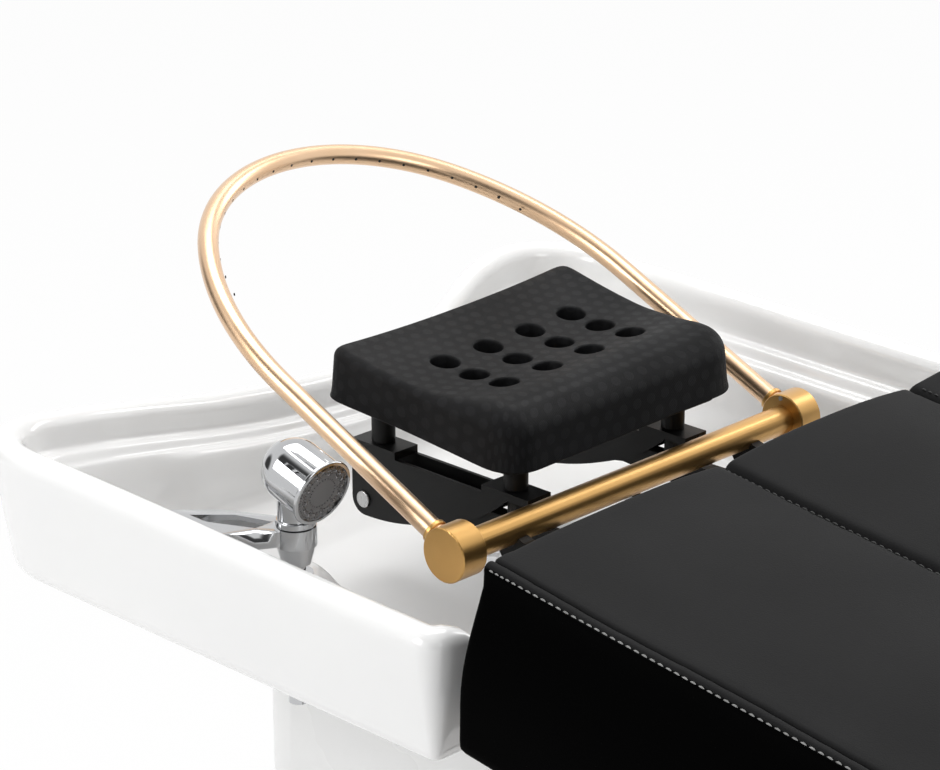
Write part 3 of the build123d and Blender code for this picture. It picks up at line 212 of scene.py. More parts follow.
def noise(tree, vector, scale, detail):
    """A Noise Texture's value; its scale is a number or a socket."""
    node = tree.nodes.new("ShaderNodeTexNoise")
    node.inputs["Detail"].default_value = detail
    feed(tree, node.inputs["Scale"], scale)
    tree.links.new(vector, node.inputs["Vector"])
    return node.outputs["Fac"]


pebble, given, result = group("pebbled_grain", [("Scale", 900.0), ("Patch", 6.0)], ["Height", "Tint"])
place = pebble.nodes.new("ShaderNodeTexCoord").outputs["Object"]
cells = pebble.nodes.new("ShaderNodeTexVoronoi")
link_all(pebble, [(place, cells.inputs["Vector"]), (given["Scale"], cells.inputs["Scale"])])
dust = noise(pebble, place, math_node(pebble, "MULTIPLY", given["Scale"], 2.6), 3.0)
link_all(pebble, [(weighted(pebble, (cells.outputs["Distance"], 1.2), (dust, 0.5)), result["Height"]),
                  (noise(pebble, place, given["Patch"], 4.0), result["Tint"])])

# %% [markdown]
# Satin plating shows very fine lines round a tube. Noise stretched along one axis gives them: the
# pattern is squeezed along the axis that the lines cross.

# %% Brushed lines
brush, given, result = group("brushed_lines", [("Across X", 1400.0), ("Across Y", 40.0), ("Across Z", 40.0)],
                             ["Height", "Tint"])
place = brush.nodes.new("ShaderNodeTexCoord").outputs["Object"]
place_xyz = split(brush, place)
squeezed = brush.nodes.new("ShaderNodeCombineXYZ")
for axis in "XYZ":
    across = math_node(brush, "MULTIPLY", place_xyz[axis], given["Across " + axis])
    brush.links.new(across, squeezed.inputs[axis])
link_all(brush, [(noise(brush, squeezed.outputs[0], 1.0, 2.0), result["Height"]),
                 (noise(brush, place, 22.0, 3.0), result["Tint"])])


# %% Finish helpers
def finish_of(name, colour, roughness, metallic=0.0):
    """A material with one Principled shader; returns (material, tree, shader)."""
    material = bpy.data.materials.new(name)
    material.use_nodes = True
    shader = material.node_tree.nodes["Principled BSDF"]
    shader.inputs["Base Color"].default_value = (*colour, 1.0)
    shader.inputs["Roughness"].default_value = roughness
    shader.inputs["Metallic"].default_value = metallic
    material.diffuse_color = (*colour, 1.0)
    return material, material.node_tree, shader


def use_group(tree, source, values):
    """Places a node group, sets its inputs in order and returns its outputs."""
    node = tree.nodes.new("ShaderNodeGroup")
    node.node_tree = source
    for socket, value in zip(node.inputs, values):
        socket.default_value = value
    return node.outputs


def spread(tree, shader, value, low, high):
    """Passes the roughness from low to high over a grain's middle range, 0.3 to 0.7."""
    tree.links.new(mapped(tree, value, 0.3, 0.7, low, high, "LINEAR"), shader.inputs["Roughness"])


def two_tone(tree, shader, value, tones):
    """Passes the colour between two tones over a grain's middle range."""
    ramp = tree.nodes.new("ShaderNodeValToRGB")
    for stop, position, tone in zip(ramp.color_ramp.elements, (0.32, 0.68), tones):
        stop.position = position
        stop.color = (*tone, 1.0)
    link_all(tree, [(value, ramp.inputs["Fac"]), (ramp.outputs["Color"], shader.inputs["Base Color"])])


def bump(tree, shader, height, distance, strength):
    """A Bump node from a height socket into the shader's Normal; distance in metres."""
    node = tree.nodes.new("ShaderNodeBump")
    node.inputs["Distance"].default_value = distance
    node.inputs["Strength"].default_value = strength
    link_all(tree, [(height, node.inputs["Height"]), (node.outputs["Normal"], shader.inputs["Normal"])])


def grained(name, colour, roughness, grain, tones, rough=None, relief=None, metallic=0.0, tones_by="Tint",
            **others):
    """A finish that follows one grain, given as (group, input values).

    The colour passes between two tones and the roughness between the two ends of `rough`. Relief is the
    grain's depth in metres and its strength. Others are values of further sockets, with _ for a space.
    """
    material, tree, shader = finish_of(name, colour, roughness, metallic)
    source, values = grain
    skin = use_group(tree, source, values)
    two_tone(tree, shader, skin[tones_by], tones)
    if rough:
        spread(tree, shader, skin["Height" if source is brush else "Tint"], *rough)
    if relief:
        bump(tree, shader, skin["Height"], *relief)
    for label, value in others.items():
        shader.inputs[label.replace("_", " ")].default_value = value
    return material


# %% [markdown]
# The covers are matt black leather cloth: a fine pebble under a millimetre across, and broad patches
# where hands have rubbed it smoother. The lying face gets a painted sheen and the band round the sides
# painted shade: colour and specular level are both scaled down as a face turns from looking up.

# %% Leather cloth
leather = grained("black_leather_cloth", (0.0055, 0.0055, 0.0058), 0.6, (pebble, (850.0, 9.0)),
                  ((0.0045, 0.0045, 0.0048), (0.0068, 0.0068, 0.0071)), (0.55, 0.65), (0.00012, 0.5))
tree = leather.node_tree
shader_in = tree.nodes["Principled BSDF"].inputs
facing = tree.nodes.new("ShaderNodeNewGeometry").outputs["Normal"]
# Painted light: faces that look up keep the full colour and a painted sheen; sides are painted in shade, down
# to 0.08.
top_light_share = mapped(tree, split(tree, facing)["Z"], 0.1, 0.7, 0.08, 1.0)
side_shade = tree.nodes.new("ShaderNodeVectorMath")
side_shade.operation = "SCALE"
link_all(tree, [(shader_in["Base Color"].links[0].from_socket, side_shade.inputs[0]), (top_light_share, side_shade.inputs["Scale"]),
                (side_shade.outputs[0], shader_in["Base Color"]),
                (math_node(tree, "MULTIPLY", top_light_share, 0.1), shader_in["Specular IOR Level"])])

# %% Threads
thread_pale = grained("pale_thread", (0.24, 0.24, 0.235), 0.65, (pebble, (2600.0, 60.0)),
                      ((0.2, 0.2, 0.195), (0.29, 0.29, 0.285)), relief=(0.0002, 0.6))
thread_grey = grained("grey_thread", (0.02, 0.02, 0.0195), 0.65, (pebble, (2600.0, 60.0)),
                      ((0.015, 0.015, 0.0147), (0.028, 0.028, 0.027)), relief=(0.0002, 0.6))

# %% [markdown]
# The headrest is a soft moulded skin. A lattice of round dots stands a hair proud of it, and fine
# slanting lines run across everything. Both follow the skin's own UV map, in metres, so they go
# round the edges as they do on the real pad. Three cosines 60 degrees apart peak on such a lattice.

# %% Moulded headrest skin
DOT_PITCH, HATCH = 0.0128, 5200.0
pad_skin, tree, shader = finish_of("moulded_black_skin", (0.0055, 0.0056, 0.0062), 0.53)
skin_uv = tree.nodes.new("ShaderNodeUVMap")
skin_uv.uv_map = "skin"
skin = split(tree, skin_uv.outputs["UV"])
dot_wave = 4 * math.pi / (DOT_PITCH * math.sqrt(3))
waves = []
for step in range(3):
    turn = math.pi * step / 3.0 + math.pi / 6.0
    phase = weighted(tree, (skin["X"], math.cos(turn) * dot_wave), (skin["Y"], math.sin(turn) * dot_wave))
    waves.append(math_node(tree, "COSINE", phase))
dots = mapped(tree, math_node(tree, "ADD", *waves), 0.0, 0.7, 0.0, 1.0)
slant = math_node(tree, "ADD", skin["X"], skin["Y"])
hatch = math_node(tree, "SINE", math_node(tree, "MULTIPLY", slant, HATCH))
grain = use_group(tree, pebble, (1500.0, 14.0))
bump(tree, shader, weighted(tree, (dots, 0.7), (hatch, 0.5), (grain["Height"], 0.35)), 0.00016, 0.7)
dot_shade = weighted(tree, (dots, 0.2), (grain["Tint"], 0.8))
two_tone(tree, shader, dot_shade, ((0.0036, 0.0037, 0.0041), (0.0092, 0.0094, 0.0102)))
spread(tree, shader, dot_shade, 0.58, 0.48)
shader.inputs["Specular IOR Level"].default_value = 0.11

# %% [markdown]
# Plated steel: the bar and caps are a deep satin gold, the arch a paler champagne. Both are metals
# whose roughness wanders a little, with very fine brushing.

# %% Gold, champagne, chrome and plain steel
gold = grained("satin_gold", (0.6, 0.34, 0.1), 0.36, (brush, (900.0, 260.0, 260.0)),
               ((0.585, 0.33, 0.093), (0.62, 0.355, 0.108)), (0.33, 0.4), (0.00001, 0.25), 1.0,
               Coat_Weight=0.55, Coat_Roughness=0.3)
champagne = grained("satin_champagne", (0.76, 0.52, 0.33), 0.3, (brush, (300.0, 300.0, 300.0)),
                    ((0.74, 0.5, 0.31), (0.785, 0.55, 0.355)), (0.28, 0.33), (0.00001, 0.15), 1.0,
                    Coat_Weight=0.3, Coat_Roughness=0.25)
chrome = grained("polished_chrome", (0.52, 0.525, 0.535), 0.06, (pebble, (1200.0, 30.0)),
                 ((0.5, 0.505, 0.515), (0.54, 0.545, 0.555)), (0.04, 0.09), metallic=1.0)
steel = grained("plain_steel", (0.5, 0.5, 0.5), 0.3, (brush, (900.0, 900.0, 120.0)),
                ((0.46, 0.46, 0.465), (0.55, 0.55, 0.55)), (0.22, 0.36), metallic=1.0)

# %% [markdown]
# The shower's spray plate is dark and glossy, with rings of fine nozzles. In the plate's own plane a
# point has a radius and an angle a: a nozzle is where cos(n a) is high inside a thin band of radius.

# %% Spray plate
PLATE_MIDDLE = (-0.25, 0.6721, 0.6565)
PLATE_LEAN = math.radians(17.0)
PLATE_RINGS = [(0.0203, 52), (0.0162, 42), (0.0112, 28)]
NOZZLE_BAND, NOZZLE_SHARE = 0.00055, 0.55
PLATE_TONE, PLATE_ROUGH = (0.2, 0.195, 0.195), 0.14
plate, tree, shader = finish_of("spray_plate", PLATE_TONE, PLATE_ROUGH, 1.0)
place = tree.nodes.new("ShaderNodeTexCoord").outputs["Object"]
from_middle = vector_node(tree, "SUBTRACT", place, PLATE_MIDDLE)
plate_x = split(tree, from_middle)["X"]
plate_y = vector_node(tree, "DOT_PRODUCT", from_middle, (0.0, -math.sin(PLATE_LEAN), math.cos(PLATE_LEAN)))
angle = math_node(tree, "ARCTAN2", plate_y, plate_x)
radius = math_node(tree, "POWER", weighted(tree, (plate_x, plate_x), (plate_y, plate_y)), 0.5)
nozzles = []
for ring, count in PLATE_RINGS:
    off_ring = math_node(tree, "ABSOLUTE", math_node(tree, "SUBTRACT", radius, ring))
    round_ring = math_node(tree, "COSINE", math_node(tree, "MULTIPLY", angle, float(count)))
    nozzles.append(math_node(tree, "MULTIPLY", math_node(tree, "LESS_THAN", off_ring, NOZZLE_BAND),
                             math_node(tree, "GREATER_THAN", round_ring, NOZZLE_SHARE)))
nozzle = math_node(tree, "MAXIMUM", *nozzles)
two_tone(tree, shader, nozzle, (PLATE_TONE, (0.03, 0.03, 0.03)))
spread(tree, shader, nozzle, PLATE_ROUGH, 0.5)

# %% Powder coat, rubber, glaze, plastics and plywood
powder = grained("black_powder_coat", (0.005, 0.005, 0.0051), 0.44, (pebble, (1600.0, 20.0)),
                 ((0.0042, 0.0042, 0.0043), (0.0062, 0.0062, 0.0064)), (0.38, 0.5), (0.00006, 0.4),
                 Specular_IOR_Level=0.2)
rubber = grained("black_rubber", (0.015, 0.015, 0.015), 0.75, (pebble, (700.0, 30.0)),
                 ((0.012, 0.012, 0.012), (0.021, 0.021, 0.020)), relief=(0.0001, 0.5))
glaze = grained("white_glaze", (0.86, 0.86, 0.855), 0.09, (pebble, (60.0, 5.0)),
                ((0.845, 0.845, 0.842), (0.875, 0.875, 0.868)), (0.07, 0.12),
                Coat_Weight=0.35, Coat_Roughness=0.05)
shell = grained("white_shell", (0.8, 0.8, 0.795), 0.28, (pebble, (420.0, 6.0)),
                ((0.78, 0.78, 0.775), (0.82, 0.82, 0.812)), (0.24, 0.33), (0.00005, 0.3))
pipe_grey = grained("grey_pipe", (0.26, 0.27, 0.275), 0.45, (pebble, (500.0, 20.0)),
                    ((0.24, 0.25, 0.255), (0.29, 0.3, 0.305)), relief=(0.00006, 0.4))
plywood = grained("sanded_plywood", (0.4, 0.26, 0.13), 0.6, (brush, (14.0, 3.0, 900.0)),
                  ((0.33, 0.2, 0.095), (0.47, 0.32, 0.17)), relief=(0.0002, 0.4), tones_by="Height")
# Painted shade: this dark finish goes on the plugs that stand in for the shade inside the spray holes.
hole_shade = grained("painted_hole_shade", (0.006, 0.005, 0.004), 0.7, (pebble, (3000.0, 60.0)),
                    ((0.004, 0.004, 0.004), (0.010, 0.008, 0.006)))

# %% [markdown]
# Every surface below is a grid of points: rows run one way over the piece, columns the other, and
# neighbouring points share a four-sided face. These helpers turn such grids into a mesh, join points
# that coincide, and turn the faces outwards by the sign of the enclosed volume.

# %% From grids to a mesh
def quads(rows, columns, wrap_rows=False, wrap_columns=False):
    """Faces of a rows x columns grid whose points are numbered row by row."""
    i = np.arange(rows if wrap_rows else rows - 1)[:, None]
    j = np.arange(columns if wrap_columns else columns - 1)[None, :]
    i2, j2 = (i + 1) % rows, (j + 1) % columns
    corners = np.broadcast_arrays(i * columns + j, i2 * columns + j, i2 * columns + j2, i * columns + j2)
    return np.stack(corners, -1).reshape(-1, 4)


def copied(faces, copies, size):
    """The faces of `copies` equal meshes of `size` points each, one after another."""
    return (faces[None] + (np.arange(copies) * size)[:, None, None]).reshape(-1, 4)


def joined(meshes):
    """Meshes of (points, faces, more) as one: faces renumbered, everything else end to end."""
    points, faces, *more = zip(*meshes)
    starts = np.cumsum([0] + [len(part) for part in points[:-1]])
    renumbered = np.concatenate([part + start for part, start in zip(faces, starts)])
    return np.concatenate(points), renumbered, *(np.concatenate(part) for part in more)


def weld(points, faces, extra, step=1.937e-6):
    """Joins points closer than `step` and leaves out faces that lost a corner."""
    keys = np.round(points / step).astype(np.int64)
    _, first, back = np.unique(keys, axis=0, return_index=True, return_inverse=True)
    faces = back.reshape(-1)[faces]
    whole = (np.diff(np.sort(faces, axis=1), axis=1) > 0).all(axis=1)
    return points[first], faces[whole], extra[first]


def enclosed(points, faces):
    """Volume inside a closed mesh of quads: the sum of a . (b x c) / 6 over its triangles."""
    a, b, c, d = (points[faces[:, k]] for k in range(4))
    return sum(np.einsum("ij,ij->i", a, np.cross(p, q)).sum() for p, q in ((b, c), (c, d))) / 6.0


def shown(name, mesh, angle=None):
    """A smooth-shaded object in the scene, with edges above `angle` degrees left sharp."""
    mesh.polygons.foreach_set("use_smooth", np.ones(len(mesh.polygons), bool))
    if angle:
        mesh.set_sharp_from_angle(angle=math.radians(angle))
    obj = bpy.data.objects.new(name, mesh)
    scene.collection.objects.link(obj)
    return obj


def make_piece(name, points, faces, material, body, slot_name, stands_for=(), flat_map=None, angle=None,
               caps=(), subdivide=0):
    """A mesh object from numpy points and quads, tied to its body. Caps are lists of point numbers."""
    if enclosed(points, faces) < 0:
        faces = faces[:, ::-1]
        caps = [cap[::-1] for cap in caps]
    mesh = bpy.data.meshes.new(name)
    mesh.from_pydata(points.tolist(), [], faces.tolist() + [cap.tolist() for cap in caps])
    mesh.materials.append(material)
    if flat_map is not None:
        corner = np.zeros(len(mesh.loops), np.int32)
        mesh.loops.foreach_get("vertex_index", corner)
        mesh.uv_layers.new(name="skin").data.foreach_set("uv", flat_map[corner].astype(np.float32).ravel())
    mesh.validate()
    obj = shown(name, mesh, angle)
    if subdivide:
        rounder = obj.modifiers.new("rounder", "SUBSURF")
        rounder.levels = subdivide
        rounder.render_levels = subdivide
    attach(obj, body)
    if stands_for:
        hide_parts(*stands_for)
    print(name, len(points), "points", len(faces), "faces")
    return obj


def carried(name, rings, *where, **options):
    """A closed piece from rings of points (count x around x 3) along a line, with a face at both ends."""
    count, around = rings.shape[:2]
    first = np.arange(around)
    caps = [first, (first + (count - 1) * around)[::-1]]
    return make_piece(name, rings.reshape(-1, 3), quads(count, around, wrap_columns=True), *where, caps=caps,
                      **options)


def round_steps(around):
    """Equal angles once round, in radians."""
    return np.linspace(0.0, 2.0 * np.pi, around, endpoint=False)


def ease(t):
    """Smoothstep: 3t^2 - 2t^3 on 0 to 1."""
    t = np.clip(t, 0.0, 1.0)
    return t * t * (3.0 - 2.0 * t)


# %% [markdown]
# The bar across the bed is the reference for the whole head end: heights and reaches below are
# written from its axis, as they were measured from the photograph.

# %% Shared places
BAR = np.array([0.0, 0.610, 0.612])
MM = 0.001

# %% [markdown]
# The basin is one ceramic casting. Every height on it has an outline that is a rounded rectangle,
# so its skin is a stack of such outlines: up the outer wall, over the rolled rim, down the inner
# wall, over a ledge, down the bowl to the drain and back under to the pedestal. The same number of
# points goes round each outline, corner for corner, so the stack is one closed grid.

# %% Rounded outlines
WALL, BOWL = (-328, 328, -124, 385), (-227, 287, -83, 344)
FOOT, BELLY = (-140, 140, -60, 280), (-212, 272, -68, 329)
DRAIN = (30, 30, 130, 130)


def rounded_outline(box, inset, front, back, corner=11, long_side=30, short_side=24):
    """Points round a box (x0, x1, y0, y1), in millimetres from the bar, moved in by `inset`.

    Its corners are arcs: centre + r (cos a, sin a), a over a quarter turn, r = front or back.
    """
    x0, x1, y0, y1 = box[0] + inset, box[1] - inset, box[2] + inset, box[3] - inset

    def arc(cx, cy, r, start):
        a = np.radians(start + np.linspace(0.0, 90.0, corner))
        return np.stack([cx + r * np.cos(a), cy + r * np.sin(a)], -1)

    def run(a, b, count):
        t = np.linspace(0.0, 1.0, count + 2)[1:-1, None]
        return a + (b - a) * t

    arcs = [arc(x1 - front, y0 + front, front, -90), arc(x1 - back, y1 - back, back, 0),
            arc(x0 + back, y1 - back, back, 90), arc(x0 + front, y0 + front, front, 180)]
    sides = [run(arcs[0][-1], arcs[1][0], short_side), run(arcs[1][-1], arcs[2][0], long_side),
             run(arcs[2][-1], arcs[3][0], short_side), run(arcs[3][-1], arcs[0][0], long_side)]
    return np.concatenate([part for pair in zip(arcs, sides) for part in pair])


def wall_outline(inset):
    """The basin's outer outline moved in by `inset`."""
    return rounded_outline(WALL, inset, max(20.0 - inset, 6.0), max(78.0 - inset, 30.0))


def bowl_outline(inset):
    """The bowl's opening in the deck moved in by `inset`."""
    return rounded_outline(BOWL, inset, 60 - 0.3 * inset, 62 - 0.3 * inset)


def drain_outline(radius):
    """A circle round the drain, as a rounded outline whose corners meet: its box is a single point."""
    return rounded_outline(DRAIN, -radius, radius * 0.999, radius * 0.999)


# %% Smooth lines
def smooth_line(knots, places):
    """A curve through (place, height) knots, level beyond the last ones.

    Between two knots a distance h apart, s from 0 to 1: (2s^3 - 3s^2 + 1) a + (s^3 - 2s^2 + s) h a'
    + (3s^2 - 2s^3) b + (s^3 - s^2) h b', with each knot's slope from its two neighbours.
    """
    at, height = np.array(knots, float).T
    slope = np.gradient(height, at)
    places = np.clip(places, at[0], at[-1])
    k = np.clip(np.searchsorted(at, places) - 1, 0, len(at) - 2)
    h = at[k + 1] - at[k]
    s = (places - at[k]) / h
    return ((2 * s ** 3 - 3 * s ** 2 + 1) * height[k] + (s ** 3 - 2 * s ** 2 + s) * h * slope[k]
            + (3 * s ** 2 - 2 * s ** 3) * height[k + 1] + (s ** 3 - s ** 2) * h * slope[k + 1])


# %% Rim waves
END_WAVE = [(-345, 27), (-300, 27), (-256, 21.5), (-202, 14), (-162, 7), (-63, -10.5), (20, -19.5),
            (85, -22.5), (135, -18), (165, -8.5), (190, 11), (214, 29), (238, 34), (264, 34), (300, 32)]
BED_RIM, HEAD_RIM, FAR_LIFT = 20.0, 27.0, 6.5
HEAD_SINK, EDGE_SINK = 33.0, 12.0
NOTCH_X, NOTCH_FLOOR = 252.0, -45.0
DECK, BOWL_LOW, FLOOR, UNDER = -25.0, -72.0, -98.2, -110.0
RIM_R, UNDER_R, BOWL_R, WALL_LEAN = 12.5, 17.0, 28.0, 11.5


def rim_height(x, y):
    """Rim height over the bar: 20 to 27 along the sides, and the wave of the head end.

    side(y) = 20 + 7 ease((y + 124) / 411); the wave's depth under 27 comes in over ease((y - 250) / 110).
    """
    side = BED_RIM + (HEAD_RIM - BED_RIM) * ease((y + 124.0) / 411.0)
    return side - (HEAD_RIM - smooth_line(END_WAVE, x)) * ease((y - 250.0) / 110.0)


def near_deck(x, y, whole=False):
    """1 over the tap deck, 0 where a row follows the rim; the deck's own rows (whole) follow it least."""
    return ease((-120.0 - x) / 60.0) * ease((345.0 - y) / (16.0 if whole else 50.0))


def sink(y, edge):
    """How far the deck falls: in the head corner, and at its bowl edge (edge = 1) beside the shower."""
    return HEAD_SINK * ease((y - 190.0) / 90.0) + EDGE_SINK * edge * ease((95.0 - y) / 25.0)


def notched(x, y, z):
    """Lowers the bed end to -45 between x = -255 and 255, for the cushion, bar and headrest arms."""
    floor = NOTCH_FLOOR + 75.0 * ease((np.abs(x) - NOTCH_X) / 50.0)
    share = 1.0 - ease((y + 52.0) / 34.0)
    return z + (np.minimum(z, floor) - z) * share


# %% Glazed basin
def between(first, second, share):
    """A share of the way from the first to the second."""
    return first + (second - first) * share


rows = []


def add_row(outline, level, wave=0.0, shelf=None, lift=0.0, edge=None):
    """One outline at level + wave x (rim height) + lift x (the far rim's extra height), cut by the notch.

    With a shelf the height is (1 - n) (rim height + level) + n shelf, where n is 1 over the tap deck; the
    deck's own rows have an edge share, which says how much of the fall towards the bowl they take.
    """
    x, y = outline.T
    z = level + wave * rim_height(x, y) + lift * FAR_LIFT * ease((x - 200.0) / 80.0)
    if shelf is not None:
        fall = 0.0 if edge is None else sink(y, edge)
        z = z + (shelf - fall - z) * near_deck(x, y, edge is not None)
    rows.append(np.stack([x, y, notched(x, y, z)], -1))


def wall_row(inset, share):
    """A row of the bowl's wall: share of the way from under the deck's rolled edge down to BOWL_LOW."""
    x, y = bowl_outline(inset).T
    upper = rim_height(x, y) - 45.0
    upper = upper + (DECK - 9.0 - sink(y, 1.0) - upper) * near_deck(x, y, True)
    rows.append(np.stack([x, y, notched(x, y, between(upper, BOWL_LOW, share))], -1))


foot = rounded_outline(FOOT, 0, 60, 60)
belly = rounded_outline(BELLY, 0, 60, 60)
for level in (-125.0, -120.0, -112.0):
    add_row(foot, level)
for share in (0.04, 0.5, 0.96):
    add_row(between(foot, belly, share), UNDER - 0.2)
for share in (0.03, 0.12, 0.35, 0.65, 0.9):
    add_row(between(belly, wall_outline(34.0), share), UNDER + 27.0 * share)
for turn in np.radians(np.linspace(0.0, 90.0, 7)):
    inset = WALL_LEAN + UNDER_R * (1.0 - math.sin(turn))
    add_row(wall_outline(inset), -81.0 + UNDER_R * (1.0 - math.cos(turn)))
for share in (0.25, 0.5, 0.75):
    add_row(wall_outline(WALL_LEAN * (1.0 - share)), -64.0 + 48.0 * share, share, lift=share)
for turn in np.radians(np.linspace(0.0, 180.0, 13)):
    add_row(wall_outline(RIM_R * (1.0 - math.cos(turn))), -RIM_R + RIM_R * math.sin(turn), 1.0, lift=1.0)
for inset, drop, shelf, lift in ((25.4, -18.0, None, 0.7), (25.9, -22.5, -5.0, 0.35),
                                 (26.8, -25.0, -10.5, 0.1), (28.8, -26.0, -16.5, 0.0),
                                 (32.5, -26.8, -22.0, 0.0), (34.8, -28.2, -23.8, 0.0),
                                 (36.4, -31.0, -24.6, 0.0), (38.2, -34.6, DECK, 0.0)):
    add_row(wall_outline(inset), drop, 1.0, shelf, lift)
for share, edge in ((0.0, 0.0), (0.3, 0.0), (0.7, 0.1)):
    add_row(between(wall_outline(41.0), bowl_outline(0.0), share), -36.0, 1.0, DECK, edge=edge)
for inset, drop in ((0.6, 0.1), (3.2, 1.1), (5.8, 3.4), (7.4, 6.2)):
    add_row(bowl_outline(inset), -36.0 - drop, 1.0, DECK - drop, edge=1.0)
for inset, share in ((8.4, 0.0), (10.6, 0.28), (13.2, 0.6), (15.6, 0.9)):
    wall_row(inset, share)
for turn in np.radians(np.linspace(14.0, 90.0, 7)):
    add_row(bowl_outline(16.0 + BOWL_R * (1.0 - math.cos(turn))), BOWL_LOW + 2.0 - BOWL_R * math.sin(turn))
for share in (0.0, 0.3, 0.6, 0.85):
    add_row(between(bowl_outline(48.0), drain_outline(66.0), share), FLOOR)
for radius, level in ((62.0, -98.8), (57.0, -100.5), (50.0, -103.6), (42.0, -107.4), (36.0, -109.8),
                      (28.0, -111.0), (22.4, -112.0), (22.2, -124.0), (23.5, -125.0)):
    add_row(drain_outline(radius), level)
stack = np.array(rows) * MM + BAR
faces = quads(*stack.shape[:2], wrap_rows=True, wrap_columns=True)
make_piece("glazed_basin", stack.reshape(-1, 3), faces, glaze, "bed", "white_ceramic", stands_for=["basin"],
           subdivide=1)

# %% [markdown]
# A couch cushion is foam on a board in a sewn cover: drawn-in sides, a crowned panel between each
# pair of seams, and an edge seam where top and side cloth meet. Its section is a closed curve, and
# the section is carried from one end to the other, pulled in where the ends are rounded.

# %% Cushion section
THICK, HALF, SEAM, EDGE_SEAM = 140.0, 335.0, 103.0, 324.0
CROWN, CROWN_POWER, GROOVE, GROOVE_WIDTH = 6.0, 2.4, 6.0, 3.8


def top_height(x):
    """Height of the cover across the bed: crowned panels, and a narrow valley at each seam.

    h = 6 (1 - |u|^2.4) on a panel, u from -1 to 1 across it, minus 6 exp(-(d / 3.8)^2) at distance d of a
    seam. The outer panels end at the edge seams, 324 out.
    """
    inner = np.abs(x) < SEAM
    middle = np.where(inner, 0.0, np.sign(x) * (EDGE_SEAM + SEAM) / 2.0)
    half = np.where(inner, SEAM, (EDGE_SEAM - SEAM) / 2.0)
    u = np.clip(np.abs(x - middle) / half, 0.0, 1.0)
    return CROWN * (1.0 - u ** CROWN_POWER) - GROOVE * np.exp(-((np.abs(x) - SEAM) / GROOVE_WIDTH) ** 2)


def cushion_section():
    """The cover's outline square to the couch, as (x, height), from the near bottom up and over."""
    low = np.array([[-318.0, 0.0], [-325.0, 1.2], [-328.5, 5.0], [-329.6, 10.0]]) - np.array([0.0, THICK])
    rise = np.linspace(0.06, 0.94, 12)
    side = np.stack([-329.6 - 5.0 * np.sin(np.pi * rise), -THICK + 12.0 + (THICK - 20.0) * rise], -1)
    edge = np.array([[-331.6, -6.5], [-332.2, -3.2], [-332.0, -0.9], [-330.9, 0.7], [-329.2, 1.5],
                     [-327.2, 1.7], [-325.7, 1.1], [-324.7, -0.9], [-324.0, -2.2], [-323.2, -0.8],
                     [-322.2, 1.0], [-319.5, 1.7], [-314.5, 2.3]])
    by_seam = SEAM + np.array([-14, -9, -6, -4, -2.5, -1.2, 0, 1.2, 2.5, 4, 6, 9, 14])
    panel, middle = np.linspace(SEAM + 22, 306, 10), np.linspace(-SEAM + 22, SEAM - 22, 10)
    across = np.concatenate([-panel[::-1], -by_seam[::-1], middle, by_seam, panel])
    top = np.stack([across, top_height(across)], -1)
    half = np.concatenate([low, side, edge])
    under = np.stack([np.linspace(300, -300, 16), np.full(16, -THICK)], -1)
    return np.concatenate([half, top, half[::-1] * np.array([-1.0, 1.0]), under])


section = cushion_section()
print("section points", len(section))


def creases(x, run, height):
    """Small pulls of the cloth, in millimetres: short waves along the seams, and slow ones all over."""
    out = np.abs(x)
    by_seam = np.exp(-((out - SEAM) / 9.0) ** 2) + 0.5 * np.exp(-((out - EDGE_SEAM) / 10.0) ** 2)
    ripple = np.sin(run / 3.1 + 1.7 * np.sin(run / 37.0)) + 0.6 * np.sin(run / 7.7 + x / 40.0)
    slow = (0.7 * np.sin(run / 61.0 + x / 83.0) * np.sin(x / 57.0 - run / 140.0 + 1.0)
            + 0.4 * np.sin(run / 29.0 - x / 45.0))
    return (0.28 * by_seam * ripple + slow) * ease((height + 60.0) / 50.0)


def cushion_points(runs, insets, place):
    """Carries the section along `runs`, drawn in by `insets`; place(x, run, h) is a point's position."""
    centre = np.array([0.0, -THICK / 2.0])
    grid = np.empty((len(runs), len(section), 3))
    for row, (run, inset) in enumerate(zip(runs, insets)):
        shrink = np.clip(1.0 - inset / np.array([HALF, THICK / 2.0]), 0.0, 1.0)
        x, h = (centre + (section - centre) * shrink).T
        grid[row] = place(x, np.full_like(x, run), h + creases(x, run, h) * (shrink[1] > 0.85))
    return grid


def end_rows(radius):
    """Rows that close an end: an arc of `radius`, then a flat face drawn in to the middle.

    On the arc the row at angle a lies radius (1 - cos a) short of the end and is inset radius (1 - sin a).
    """
    a = np.radians([90.0, 72.0, 54.0, 36.0, 18.0, 0.0])
    flat = [14.0, 30.0, 46.0, 60.0, 66.0]
    return (np.concatenate([radius * (1.0 - np.cos(a)), np.zeros(len(flat))]),
            np.concatenate([radius * (1.0 - np.sin(a)), flat]))


# %% Couch covers
SLOPE = math.radians(7.2)
HEAD = BAR[1:] + np.array([-0.160, 0.088])
BACK_LENGTH = 800.0
BREAK = HEAD - BACK_LENGTH * MM * np.array([math.cos(SLOPE), math.sin(SLOPE)])
FOOT_Y = -0.995
SEAT_LENGTH = (BREAK[0] - FOOT_Y) / MM


def on_back(x, run, height):
    """A point of the sloping back: run down from its head end, height square to its top.

    The head end's face leans back by lean = (5 - x / 120) at its top, as the cover draws the foam in.
    """
    lean = (5.0 - x / 120.0) * ease((height + 100.0) / 100.0) * ease(1.0 - run / 40.0)
    run = (run + lean) * (1.0 + height * math.tan(SLOPE / 2.0) / BACK_LENGTH)
    y = HEAD[0] - (run * math.cos(SLOPE) + height * math.sin(SLOPE)) * MM
    z = HEAD[1] - (run * math.sin(SLOPE) - height * math.cos(SLOPE)) * MM
    return np.stack([x * MM, y, z], -1)


